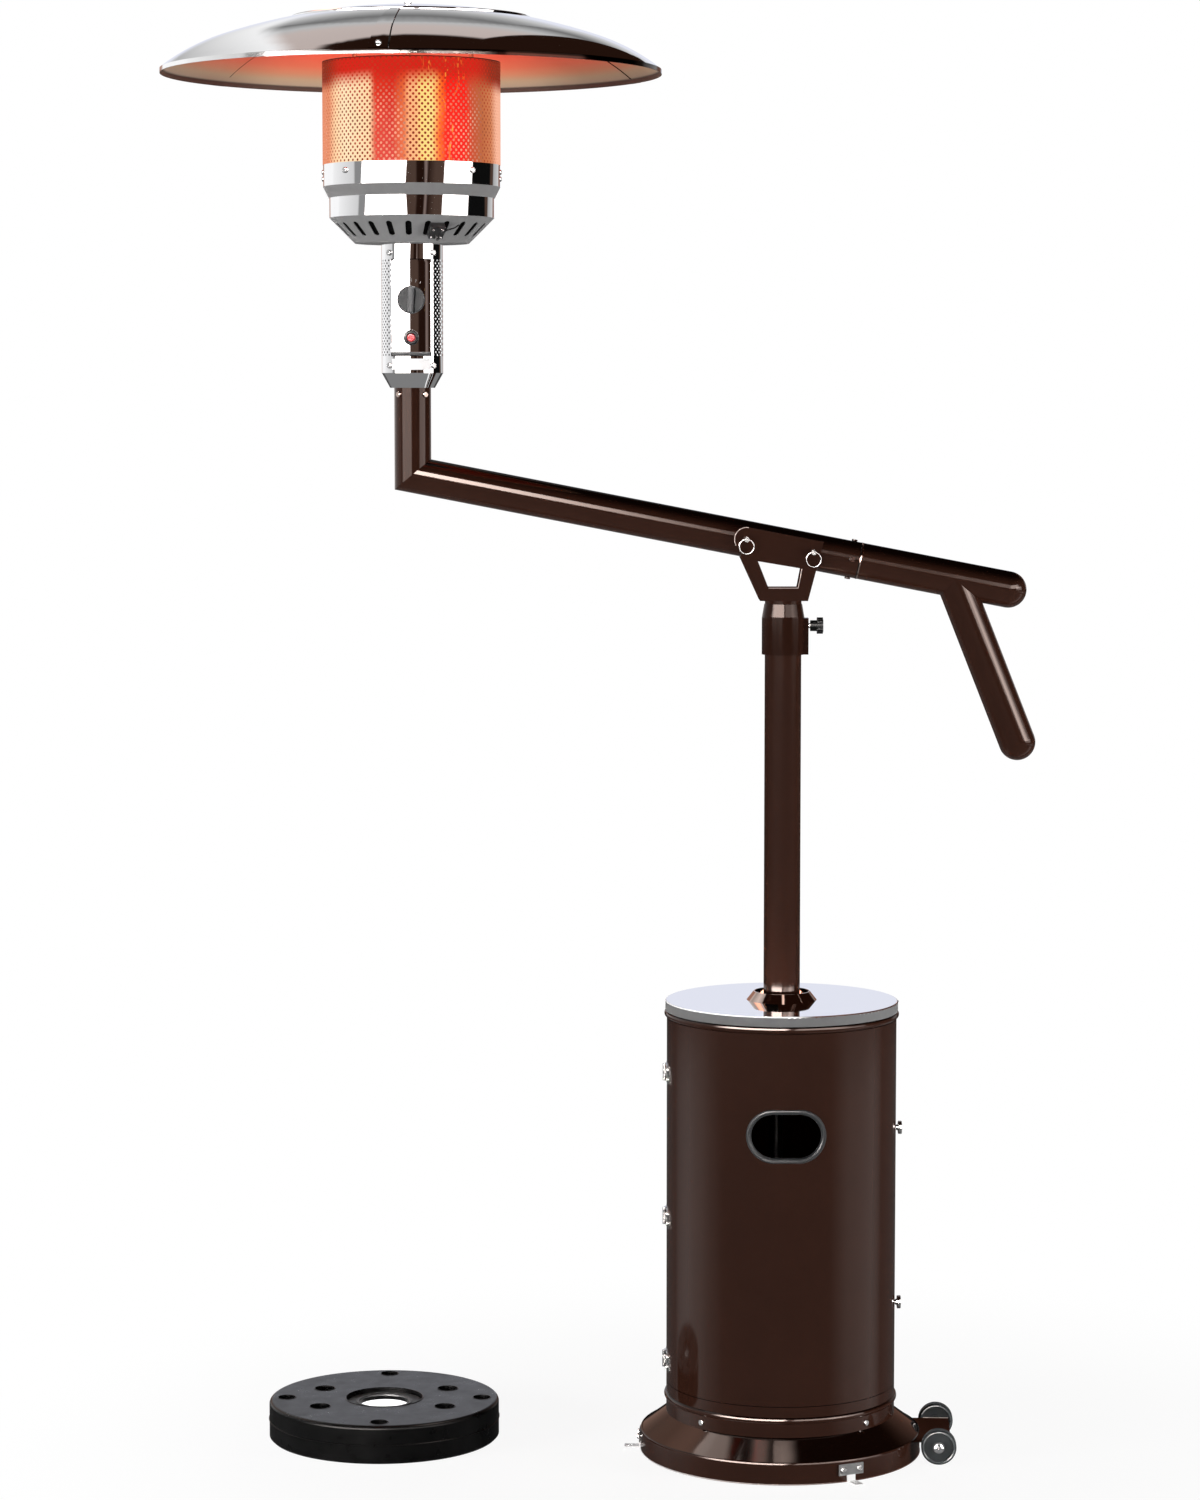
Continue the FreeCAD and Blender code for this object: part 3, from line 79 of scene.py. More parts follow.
DOME_R, KNEE_R, BROW_R, RIM_R, CAP_R = 0.985, 0.316, 0.324, 0.4065, 0.195
CROWN_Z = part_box("reflector_cap")[1].z - 1.2 * MM
SEAM_TURN, LAP_TURN, SEAM_SCREW_TURN = math.radians(-92.3), math.radians(4.4), math.radians(2.3)
SEAM_SCREW_R, SEAM_STEPS = 0.394, 24
DOME_HEAD = in_mm((4.6, 0.6), (4.4, 2.0), (3.2, 3.4), (1.4, 4.0), (0, 4.1))
WHEEL_RIM = in_mm((24.0, -1.0), (24.3, 0.5), (25.1, 1.0), (26.2, 0.8), (26.9, 0))
GROMMET_LIP = in_mm(
    (0, 0.1), (0.5, 1.5), (1.6, 2.6), (3.2, 3.0), (5.0, 2.8), (6.8, 1.8), (8.0, 0.2), (8.5, -2), (8.5, -6))

SHELL_R, COVER_FOOT, RING_FOOT = 0.190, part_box("top_cover")[0].z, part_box("lower_ring")[0].z
BEAD_R = 5.6 * MM
# How far a bead stands out, and its height
BEADS = ((3.5 * MM, RING_FOOT + 27.5 * MM), (4.0 * MM, COVER_FOOT - 5.75 * MM))
# Radius and height of the base's shoulder
RIM_EDGE = (0.233, 0.035)
COVER_R = (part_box("top_cover")[1].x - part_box("top_cover")[0].x) / 2 - 0.3 * MM
# Places on the front cheek, as x and z
LEFT_PIN = (-0.06166, 1.5196)
WINDOW_SILL = ((-0.0255, 1.4402), (0, 1.4402), (0.0226, 1.4402), (0.0260, 1.456), (0.0288, 1.4715))
ARM_SLOPE = math.radians(10.92)
ARM_WAY = Vector((math.cos(ARM_SLOPE), 0, -math.sin(ARM_SLOPE)))
TAIL_JOINT = Vector((0, 0, 1.5077)) + ARM_WAY * 0.1259
AXLE_TURN, GRIP_TURN = math.radians(3), math.radians(3)
AXLE_WAY = Vector((math.sin(AXLE_TURN), math.cos(AXLE_TURN), 0))
WHEEL_HALF = 9 * MM
CUP_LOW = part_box("cup_lower")[0]
BAND_LOW, BAND_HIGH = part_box("cup_upper")
RESERVOIR_LOW, RESERVOIR_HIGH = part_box("ballast_reservoir")
# Radius of a hole, radius of its ring, and where the holes lie, in degrees
HOLE_RINGS = (
    (17 * MM, 121 * MM, (30, 150, 210, 330)), (14.5 * MM, 165 * MM, (0, 90, 180, 270)),
)
DIAL_R, DIAL_MARKS = 32 * MM, (118, 104, 90, 76, 62)
KNOB_DISC, GRIP_HALF = 5 * MM, 5 * MM
# Scale of the noise in a moulding's surface
FINE_GRAIN, RUBBER_GRAIN = 1400, 900

PAINTED = (
    "base_skirt", "lower_ring", "rear_shell", "upper_ring", "lower_pole", "door_panel",
    "swivel_stub", "arm_tube", "head_post", "tail_tube", "tail_grip",
)
PLATED = (
    "wheel_axle", "hinge_leaves_rear", "hinge_leaves_door", "clamp_stud", "valve_spindle", "reflector_studs",
)
PINS = ("lock_pin_left", "lock_pin_right", "pull_ring_left", "pull_ring_right")
SCREWS = ("base_screws", "head_screws", "hinge_screws", "latch_screw_upper", "latch_screw_lower")
INNER_STEEL_PAINTED_DARK = ("tank_platform", "support_legs", "pole_plate", "burner_head")
MIRROR = ("control_cone", "neck_ring")
REFLECTOR = ("reflector_panel_1", "reflector_panel_2", "reflector_panel_3", "reflector_cap")


class HeaterFinish(bpy.types.PropertyGroup):
    """Colours and finishes."""

    paint: FloatVectorProperty(
        name="Paint", description="Brown gloss paint on the steelwork", subtype="COLOR", min=0, max=1,
        default=(0.0265, 0.0098, 0.0060))
    paint_roughness: FloatProperty(
        name="Paint roughness", description="How soft the paint's reflections are", subtype="FACTOR", min=0,
        max=1, default=0.085)
    chrome: FloatVectorProperty(
        name="Chrome", description="Mirror plating of the head and the cover", subtype="COLOR", min=0, max=1,
        default=(0.93, 0.93, 0.94))
    plated: FloatVectorProperty(
        name="Plated steel", description="Zinc plating of the hardware", subtype="COLOR", min=0, max=1,
        default=(0.62, 0.62, 0.62))
    plastic: FloatVectorProperty(
        name="Black plastic", description="Moulded plastic of the knobs and the reservoir", subtype="COLOR", min=0,
        max=1, default=(0.014, 0.0145, 0.015))
    rubber: FloatVectorProperty(
        name="Rubber", description="Rubber of the wheels", subtype="COLOR", min=0, max=1,
        default=(0.018, 0.020, 0.021))
    button: FloatVectorProperty(
        name="Button", description="Igniter button", subtype="COLOR", min=0, max=1,
        default=(0.56, 0.045, 0.055))
    glow: FloatProperty(
        name="Glow", description="How brightly the emitter glows", subtype="FACTOR", min=0, soft_max=4,
        default=1.0)
    lid_glow: FloatProperty(
        name="Lid glow", description="How brightly the lid lights the reflector", min=0, default=5.0)
    bronze: FloatVectorProperty(
        name="Bronze", description="Polished brown of the pole's flange", subtype="COLOR", min=0, max=1,
        default=(0.62, 0.48, 0.42))


class HeaterSizes(bpy.types.PropertyGroup):
    """Sizes of the pieces that model.glb doesn't hold."""

    screen_pitch: FloatProperty(
        name="Screen pitch", description="Between holes in a row of the emitter screen", unit="LENGTH",
        min=0.004, default=0.0096)
    screen_row: FloatProperty(
        name="Screen row", description="Between rows of the emitter screen", unit="LENGTH", min=0.003,
        default=0.0051)
    screen_hole: FloatProperty(
        name="Screen hole", description="Radius of a hole in the emitter screen", unit="LENGTH", min=0.0005,
        default=0.0022)
    guard_pitch: FloatProperty(
        name="Guard pitch", description="Between holes in a row of the control guard", unit="LENGTH", min=0.003,
        default=0.0094)
    guard_row: FloatProperty(
        name="Guard row", description="Between rows of the control guard", unit="LENGTH", min=0.003,
        default=0.0045)
    guard_hole: FloatProperty(
        name="Guard hole", description="Radius of a hole in the control guard", unit="LENGTH", min=0.0005,
        default=0.0017)
    sheet: FloatProperty(
        name="Sheet", description="Thickness of the perforated sheets", unit="LENGTH", min=0.0002, default=0.0008)
    panel_bow: FloatProperty(
        name="Panel bow", description="How far the control panel's edges fall back", unit="LENGTH", min=0,
        default=0.0045)
    plate_width: FloatProperty(
        name="Plate width", description="Bare plate under the controls, along its curve", unit="LENGTH", min=0.01,
        default=0.068)
    plate_height: FloatProperty(
        name="Plate height", description="Bare plate under the controls", unit="LENGTH", min=0.005, default=0.018)
    round_steps: IntProperty(
        name="Round steps", description="Steps round a turned piece", min=16, max=256, default=96)


class HeaterStage(bpy.types.PropertyGroup):
    """Camera, floor and light."""

    lens: FloatProperty(name="Lens", description="Focal length in millimetres", min=10, default=95.4)
    camera_place: FloatVectorProperty(
        name="Camera", description="Where the camera stands", subtype="TRANSLATION", unit="LENGTH",
        default=(-0.3008, -6.5224, 1.746))
    camera_pitch: FloatProperty(
        name="Pitch", description="How far the camera looks down", subtype="ANGLE",
        default=math.radians(5.03))
    floor_reach: FloatProperty(
        name="Floor", description="Radius of the floor", unit="LENGTH", min=1, default=14.0)
    key_power: FloatProperty(
        name="Side light", description="Power of each side softbox in watts; the one behind has less", min=0,
        default=170)
    card_power: FloatProperty(
        name="Card power", description="Scale of the light cards over the base and the flange", min=0, default=1.0)
    ambient: FloatProperty(name="Ambient", description="Even light from all round", min=0, default=0.55)


def finish_of(context):
    return context.scene.heater_finish


def sizes_of(context):
    return context.scene.heater_sizes


# Node helpers


def new_material(name):
    """A material with its tree and its main shader."""
    material = bpy.data.materials.new(name)
    material.use_nodes = True
    tree = material.node_tree
    return material, tree, tree.nodes["Principled BSDF"]


def add(tree, kind, values=None, **settings):
    """Add a node, set its properties, and fill or link its inputs."""
    node = tree.nodes.new(kind)
    for key, value in settings.items():
        setattr(node, key, value)
    for key, value in (values or {}).items():
        feed(tree, node.inputs[key], value)
    return node


def feed(tree, socket, value):
    """Link a socket to another's output, or set its value."""
    if isinstance(value, bpy.types.NodeSocket):
        tree.links.new(value, socket)
    else:
        socket.default_value = value


def dress(tree, shader, **values):
    """Fill a shader's inputs by their names, with _ for a space."""
    for key, value in values.items():
        feed(tree, shader.inputs[key.replace("_", " ")], value)


def tint(colour, gain=1.0):
    return (colour[0] * gain, colour[1] * gain, colour[2] * gain, 1.0)


def local_place(tree):
    """Where a point lies in the row's frame, in metres."""
    return add(tree, "ShaderNodeTexCoord").outputs["Object"]


def noise(tree, place, scale, detail=2.0, rough=0.5, twist=0.0):
    values = {"Vector": place, "Scale": scale, "Detail": detail, "Roughness": rough, "Distortion": twist}
    return add(tree, "ShaderNodeTexNoise", values).outputs["Fac"]


def math_node(tree, operation, first, second=0.0):
    return add(tree, "ShaderNodeMath", {0: first, 1: second}, operation=operation).outputs[0]


def times(tree, first, second):
    return math_node(tree, "MULTIPLY", first, second)


def span(tree, value, low, high, to_low=0.0, to_high=1.0, soft=False):
    """Map a value from one range to another."""
    values = {"Value": value, "From Min": low, "From Max": high, "To Min": to_low, "To Max": to_high}
    kind = "SMOOTHSTEP" if soft else "LINEAR"
    return add(tree, "ShaderNodeMapRange", values, interpolation_type=kind).outputs["Result"]


def ramp(tree, value, stops):
    """A colour for each place along 0 to 1."""
    node = add(tree, "ShaderNodeValToRGB", {"Fac": value})
    band = node.color_ramp
    while len(band.elements) > 1:
        band.elements.remove(band.elements[-1])
    band.elements[0].position, band.elements[0].color = stops[0]
    for place, colour in stops[1:]:
        band.elements.new(place).color = colour
    return node.outputs["Color"]


def round_ramp(tree, turn, table):
    """Colours round an axis for a turn of 0 to 1, from a table of degrees and colours."""
    return ramp(tree, turn, [(0.5 + angle / 360, (*colour[:3], 1)) for angle, colour in table])


def window(tree, value, low, high, edge):
    """1 between two bounds, 0 outside them, with soft edges."""
    rise = span(tree, value, low - edge, low + edge, soft=True)
    return times(tree, rise, span(tree, value, high + edge, high - edge, soft=True))


def blend(tree, share, first, second, kind="MIX"):
    """Mix two colours."""
    node = add(tree, "ShaderNodeMix", data_type="RGBA", blend_type=kind)
    for socket, value in zip((node.inputs[0], node.inputs[6], node.inputs[7]), (share, first, second)):
        feed(tree, socket, value)
    return node.outputs[2]


def bump(tree, height, strength, distance):
    values = {"Height": height, "Strength": strength, "Distance": distance}
    return add(tree, "ShaderNodeBump", values).outputs["Normal"]


def split(tree, vector):
    return add(tree, "ShaderNodeSeparateXYZ", {0: vector}).outputs


def facing_up(tree):
    """How far a surface faces up, from -1 to 1."""
    return split(tree, add(tree, "ShaderNodeNewGeometry").outputs["Normal"])["Z"]


def grey(level):
    return (level, level, level, 1.0)


CLOUD_LOW, CLOUD_HIGH = 0.3, 0.7


def mottle(tree, cloud, first, second):
    """A colour that wanders between two as a noise does."""
    return ramp(tree, cloud, [(CLOUD_LOW, first), (CLOUD_HIGH, second)])


def vary(tree, cloud, low, high):
    """A value that wanders between two as a noise does."""
    return span(tree, cloud, CLOUD_LOW, CLOUD_HIGH, low, high)


# Finishes


def gloss_paint_top_shading(finish, depth=1.0, shine=0.26, coat=1.5, top=0.18):
    """Brown powder paint under a gloss coat, with a faint orange peel; level tops take painted shade, the paint's
    colour times top, which is painted light where top is above 1, and they lose their shine; depth scales the whole
    colour.
    """
    material, tree, shader = new_material("brown_gloss_paint_top_shading")
    place = local_place(tree)
    cloud = noise(tree, place, 9, 4)
    colour = mottle(tree, cloud, tint(finish.paint, 0.93 * depth), tint(finish.paint, 1.07 * depth))
    rough = finish.paint_roughness
    facing = facing_up(tree)
    # Painted shade on faces that face up: they blend to top times the paint, painted light where top is above 1
    colour = blend(tree, span(tree, facing, 0.40, 0.72), colour, tint(finish.paint, top * depth))
    dress(tree, shader, Base_Color=colour, Specular_Tint=(1.0, 0.86, 0.80, 1.0), IOR=coat,
          Specular_IOR_Level=span(tree, facing, 0.85, 0.93, shine, 0.02),
          Roughness=vary(tree, noise(tree, place, 45, 5), rough * 0.85, rough * 1.2),
          Normal=bump(tree, noise(tree, place, 520, 1), 0.05, 0.0002))
    return material


def polished_bronze(finish):
    """Brown plating of the flange, as bright as a mirror."""
    material, tree, shader = new_material("polished_bronze")
    place = local_place(tree)
    haze = span(tree, noise(tree, place, 90, 5), 0.35, 0.75, 0.04, 0.09)
    dress(tree, shader, Base_Color=tint(finish.bronze), Metallic=1.0, Roughness=haze,
          Normal=bump(tree, noise(tree, place, 30, 1), 0.02, 0.001))
    return material


def mirror_chrome(finish):
    """Bright plating with faint ripples and polishing haze."""
    material, tree, shader = new_material("mirror_chrome")
    place = local_place(tree)
    haze = span(tree, noise(tree, place, 70, 6, 0.7), 0.35, 0.75, 0.015, 0.06)
    dress(tree, shader, Base_Color=tint(finish.chrome), Metallic=1.0, Roughness=haze,
          Normal=bump(tree, noise(tree, place, 6, 1), 0.02, 0.001))
    return material


def part_satin(name, finish, base, levels=None):
    """Plating that is satin grey between the given heights, or wherever it does not face up."""
    material, tree, shader = new_material(name)
    place = local_place(tree)
    if levels:
        height = split(tree, place)["Z"]
        dull = 0.0
        for low, high in levels:
            dull = math_node(tree, "MAXIMUM", dull, window(tree, height, low, high, 0.15 * MM))
    else:
        dull = span(tree, facing_up(tree), 0.6, 0.4)
    cloud = noise(tree, place, 70, 6, 0.7)
    haze = span(tree, cloud, 0.35, 0.75, 0.015, 0.06)
    satin = mottle(tree, cloud, grey(0.95 * base), grey(1.05 * base))
    colour = blend(tree, dull, tint(finish.chrome), satin)
    dress(tree, shader, Base_Color=colour, Metallic=span(tree, dull, 0, 1, 1.0, 0.0), Specular_IOR_Level=0.05,
          Roughness=math_node(tree, "ADD", haze, times(tree, dull, 0.45)),
          Normal=bump(tree, noise(tree, place, 6, 1), 0.02, 0.001))
    return material


# Painted glow of the emitter on the reflector's underside, from the head's axis out to the rim, ending in painted
# shade at the lip
UNDERSIDE_PAINTED_GLOW = (
    (0.0, (0.72, 0.11, 0.05, 1)), (0.787, (0.66, 0.08, 0.04, 1)), (0.873, (0.57, 0.12, 0.06, 1)),
    (0.922, (0.48, 0.18, 0.095, 1)), (0.96, (0.37, 0.25, 0.155, 1)), (0.990, (0.33, 0.245, 0.175, 1)),
    (0.994, (0.07, 0.052, 0.043, 1)),
)
# Painted reflection on the rim's lip: light and dark bands from left to right
LIP_PAINTED_REFLECTION = (
    (0.0, grey(0.93)), (0.06, grey(0.8)), (0.14, grey(0.25)), (0.44, grey(0.16)), (0.49, grey(0.8)),
    (0.70, (0.8, 0.7, 0.66, 1)), (0.80, (0.027, 0.0107, 0.008, 1)),
)
# Painted dark reflection on the upper lip at the left
LIP_PAINTED_DARK = (0.004, 0.002, 0.0014, 1)


def spun_reflector_with_painted_glow(finish):
    """Polished on the outside, with painted reflections on the rim's lip; satin on the inside, with a painted glow
    of the emitter from the axis out to the rim, given as colour and as emission.
    """
    material, tree, shader = new_material("spun_reflector_with_painted_glow")
    place = local_place(tree)
    x, y, z = split(tree, place)
    flat = add(tree, "ShaderNodeCombineXYZ", {
        0: math_node(tree, "SUBTRACT", x, HEAD.x), 1: math_node(tree, "SUBTRACT", y, HEAD.y)}).outputs[0]
    away = add(tree, "ShaderNodeVectorMath", {0: flat}, operation="LENGTH").outputs["Value"]
    out = add(tree, "ShaderNodeVectorMath", {0: flat}, operation="NORMALIZE").outputs[0]
    lifted = add(tree, "ShaderNodeVectorMath", {0: out, 1: (0, 0, 1)}, operation="ADD").outputs[0]
    normal = add(tree, "ShaderNodeNewGeometry").outputs["Normal"]
    facing = add(tree, "ShaderNodeVectorMath", {0: normal, 1: lifted}, operation="DOT_PRODUCT").outputs["Value"]
    inside = span(tree, facing, 0.05, -0.05)
    haze = span(tree, noise(tree, place, 60, 6, 0.7), 0.35, 0.75, 0.02, 0.06)
    painted_underside_glow = ramp(tree, span(tree, away, 0, RIM_R), UNDERSIDE_PAINTED_GLOW)
    lip = span(tree, away, RIM_R - 1.2 * MM, RIM_R - 0.6 * MM)
    # Painted reflection on the lip's outside, banded from left to right, and darkened on the upper lip at the left
    painted_lip_reflection = ramp(tree, span(tree, x, HEAD.x - 0.25, HEAD.x + 0.25), LIP_PAINTED_REFLECTION)
    upper = times(tree, span(tree, z, REFLECTOR_LOW.z + 3 * MM, REFLECTOR_LOW.z + 5 * MM),
                  span(tree, x, HEAD.x - 0.20, HEAD.x - 0.10))
    painted_lip_reflection = blend(tree, upper, painted_lip_reflection, LIP_PAINTED_DARK)
    outside = blend(tree, lip, tint(finish.chrome), painted_lip_reflection)
    colour = blend(tree, inside, outside, painted_underside_glow)
    rough = math_node(tree, "ADD", haze, times(tree, inside, 0.38))
    rough = math_node(tree, "ADD", rough, times(tree, lip, 0.06))
    # The underside also emits its painted glow, though it is no lamp
    dress(tree, shader, Base_Color=colour, Metallic=span(tree, inside, 0, 1, 1.0, 0.1), Roughness=rough,
          Specular_IOR_Level=0.2, Emission_Color=painted_underside_glow, Emission_Strength=times(tree, inside, 0.24),
          Normal=bump(tree, noise(tree, place, 4, 1), 0.03, 0.001))
    return material


def plated_steel(finish):
    """Zinc-plated hardware."""
    material, tree, shader = new_material("plated_steel")
    place = local_place(tree)
    cloud = noise(tree, place, 160, 4)
    colour = mottle(tree, cloud, tint(finish.plated, 0.85), tint(finish.plated, 1.15))
    dress(tree, shader, Base_Color=colour, Metallic=1.0, Roughness=vary(tree, cloud, 0.16, 0.30),
          Normal=bump(tree, noise(tree, place, 900, 2), 0.03, 0.0001))
    return material


def pin_steel(finish):
    """Duller plating of the pins and their rings."""
    material, tree, shader = new_material("pin_steel")
    cloud = noise(tree, local_place(tree), 160, 4)
    colour = mottle(tree, cloud, tint(finish.plated, 0.40), tint(finish.plated, 0.54))
    dress(tree, shader, Base_Color=colour, Metallic=1.0, Roughness=vary(tree, cloud, 0.16, 0.28))
    return material


def brushed_steel_painted_shade(finish):
    """Inner sheet steel, brushed, and painted nearly black as the shade inside the housing and the cup."""
    material, tree, shader = new_material("inner_steel_painted_shade")
    place = local_place(tree)
    stretched = add(tree, "ShaderNodeMapping", {"Vector": place, "Scale": (8.0, 8.0, 300.0)}).outputs[0]
    lines = noise(tree, stretched, 4, 4)
    # Painted shade: a few hundredths of the plating's colour
    colour = mottle(tree, lines, tint(finish.plated, 0.015), tint(finish.plated, 0.03))
    dress(tree, shader, Base_Color=colour, Metallic=1.0, Roughness=vary(tree, lines, 0.3, 0.48))
    return material


def anchor_steel():
    """Grey anchor plates with a bright foot."""
    material, tree, shader = new_material("anchor_steel")
    place = local_place(tree)
    cloud = noise(tree, place, 90, 3)
    plate = mottle(tree, cloud, grey(0.15), grey(0.18))
    foot = span(tree, split(tree, place)["Z"], 0.0125, 0.0115)
    dress(tree, shader, Base_Color=blend(tree, foot, plate, grey(0.86)), Specular_IOR_Level=0.3,
          Roughness=vary(tree, cloud, 0.28, 0.4))
    return material


def moulded_plastic(name, colour, low, high, grain, shine=0.5):
    """Moulded plastic or rubber with a fine spark-eroded grain."""
    material, tree, shader = new_material(name)
    place = local_place(tree)
    cloud = noise(tree, place, 30, 3)
    tone = mottle(tree, cloud, tint(colour, 0.88), tint(colour, 1.12))
    dress(tree, shader, Base_Color=tone, Roughness=vary(tree, cloud, low, high), Specular_IOR_Level=shine,
          Normal=bump(tree, noise(tree, place, grain, 3), 0.16, 0.0003))
    return material


def satin_reservoir(finish):
    """Black reservoir moulding, with more sheen on its top than on its side."""
    material, tree, shader = new_material("reservoir_moulding")
    place = local_place(tree)
    cloud = noise(tree, place, 40, 4)
    tone = mottle(tree, cloud, tint(finish.plastic, 0.10), tint(finish.plastic, 0.16))
    facing = facing_up(tree)
    dress(tree, shader, Base_Color=tone, Roughness=vary(tree, cloud, 0.26, 0.34),
          Specular_IOR_Level=span(tree, facing, 0.3, 0.85, 0.05, 0.2),
          Normal=bump(tree, noise(tree, place, 700, 3), 0.12, 0.0003))
    return material


def turned_brass():
    """Brass of the gas valve."""
    material, tree, shader = new_material("turned_brass")
    cloud = noise(tree, local_place(tree), 120, 4)
    colour = mottle(tree, cloud, (0.50, 0.34, 0.12, 1), (0.66, 0.47, 0.18, 1))
    dress(tree, shader, Base_Color=colour, Metallic=1.0, Roughness=vary(tree, cloud, 0.25, 0.4))
    return material


def guard_lining_painted_shade_glow():
    """Behind the guard's holes: painted shade, dark, and at the right a pale painted glow, emitted, for the daylight
    through the far side.
    """
    material, tree, shader = new_material("guard_lining_painted_shade_glow")
    place = local_place(tree)
    # Painted glow on the right, emitted; painted shade elsewhere
    pale = span(tree, split(tree, place)["X"], HEAD.x + 33.5 * MM, HEAD.x + 35 * MM)
    cloud = noise(tree, place, 90, 3)
    colour = blend(tree, pale, mottle(tree, cloud, grey(0.006), grey(0.012)), grey(0.85))
    dress(tree, shader, Base_Color=colour, Roughness=0.7, Specular_IOR_Level=0.05, Emission_Color=colour,
          Emission_Strength=times(tree, pale, 0.5))
    return material


def arm_screw_finish(finish):
    """Screws painted with the arm's tail, and left bright under the controls."""
    material, tree, shader = new_material("arm_screw_finish")
    place = local_place(tree)
    bright = span(tree, split(tree, place)["Z"], 1.60, 1.62)
    cloud = noise(tree, place, 160, 4)
    dress(tree, shader, Base_Color=blend(tree, bright, tint(finish.paint), (0.70, 0.56, 0.50, 1)), Metallic=bright,
          Roughness=vary(tree, cloud, 0.14, 0.26), Specular_IOR_Level=0.26)
    return material


def plain_plate():
    """Bare white enamel of the plate under the controls."""
    material, tree, shader = new_material("white_plate")
    cloud = noise(tree, local_place(tree), 80, 3)
    colour = mottle(tree, cloud, grey(0.80), grey(0.86))
    dress(tree, shader, Base_Color=colour, Roughness=vary(tree, cloud, 0.3, 0.42))
    return material


def pale_sleeve_with_painted_glow():
    """Pale plastic with a painted glow, emitted, for the floor's light seen through the hub."""
    material, tree, shader = new_material("pale_sleeve_with_painted_glow")
    cloud = noise(tree, local_place(tree), 40, 3)
    colour = mottle(tree, cloud, grey(0.86), grey(0.92))
    # Painted glow: the sleeve emits, though it is no lamp
    dress(tree, shader, Base_Color=colour, Roughness=0.5, Emission_Color=colour, Emission_Strength=0.8)
    return material


def painted_highlight_edge(name, reach, stops):
    """A thin edge with a painted highlight on one side, darkening across to the other, that also glows faintly as
    painted light.
    """
    material, tree, shader = new_material(name)
    place = local_place(tree)
    colour = ramp(tree, span(tree, split(tree, place)["X"], -reach, reach), stops)
    dress(tree, shader, Base_Color=colour, Roughness=vary(tree, noise(tree, place, 220, 3), 0.3, 0.45),
          Specular_IOR_Level=0.3, Emission_Color=colour, Emission_Strength=0.3)
    return material


def dial_ink():
    """Ink of the marks round the gas knob."""
    material, tree, shader = new_material("dial_ink")
    cloud = noise(tree, local_place(tree), 600, 2)
    colour = mottle(tree, cloud, grey(0.02), grey(0.05))
    dress(tree, shader, Base_Color=colour, Roughness=0.6)
    return material


def around_head(tree, place):
    """Turn round the head's axis from the front, as -1 to 1, and the height up the screen, as 0 to 1."""
    x, y, z = split(tree, place)
    east = math_node(tree, "SUBTRACT", x, HEAD.x)
    south = math_node(tree, "SUBTRACT", HEAD.y, y)
    turn = math_node(tree, "DIVIDE", math_node(tree, "ARCTAN2", east, south), math.pi)
    return turn, span(tree, z, SCREEN_LOW.z, SCREEN_HIGH.z)


# Degrees round the head from the front, and the colour of the glow there
SHEET_BANDS = (
    (-180, (0.62, 0.20, 0.10)), (-150, (0.95, 0.55, 0.30)), (-128, (0.62, 0.06, 0.02)), (-112, (0.60, 0.05, 0.02)),
    (-90, (0.70, 0.22, 0.11)), (-64, (0.80, 0.28, 0.14)), (-54, (1.0, 0.66, 0.38)), (-44, (1.0, 0.78, 0.50)),
    (-25.5, (1.0, 0.68, 0.38)), (-21, (0.75, 0.03, 0.010)), (-9, (0.70, 0.018, 0.008)), (-1, (0.80, 0.15, 0.04)),
    (2, (1.0, 0.45, 0.20)), (6.5, (1.0, 0.50, 0.22)), (9, (1.0, 0.72, 0.22)), (16, (1.0, 0.74, 0.25)),
    (20, (1.0, 0.20, 0.02)), (24, (1.0, 0.012, 0.006)), (38, (0.95, 0.012, 0.006)), (44, (0.60, 0.08, 0.03)),
    (52, (0.50, 0.13, 0.045)), (64, (0.62, 0.20, 0.08)), (74, (0.95, 0.48, 0.32)), (90, (0.90, 0.45, 0.30)),
    (108, (0.62, 0.05, 0.02)), (130, (0.95, 0.50, 0.26)), (150, (0.66, 0.05, 0.02)), (180, (0.62, 0.20, 0.10)),
)
CORE_BANDS = (
    (-180, (0.85, 0.35, 0.22)), (-150, (0.22, 0.03, 0.012)), (-120, (0.95, 0.45, 0.30)), (-90, (0.40, 0.10, 0.05)),
    (-60, (0.30, 0.06, 0.025)), (-44, (0.24, 0.03, 0.012)), (-25, (0.26, 0.03, 0.012)), (-20.5, (0.95, 0.40, 0.26)),
    (-5, (0.95, 0.42, 0.28)), (1, (0.28, 0.03, 0.012)), (17, (0.30, 0.03, 0.012)), (22, (1.0, 0.10, 0.05)),
    (34, (1.0, 0.30, 0.20)), (46, (0.95, 0.50, 0.35)), (60, (0.28, 0.06, 0.025)), (90, (0.40, 0.12, 0.06)),
    (120, (0.95, 0.45, 0.30)), (150, (0.25, 0.03, 0.012)), (180, (0.85, 0.35, 0.22)),
)


CHARRED = (0.012, 0.005, 0.004, 1)


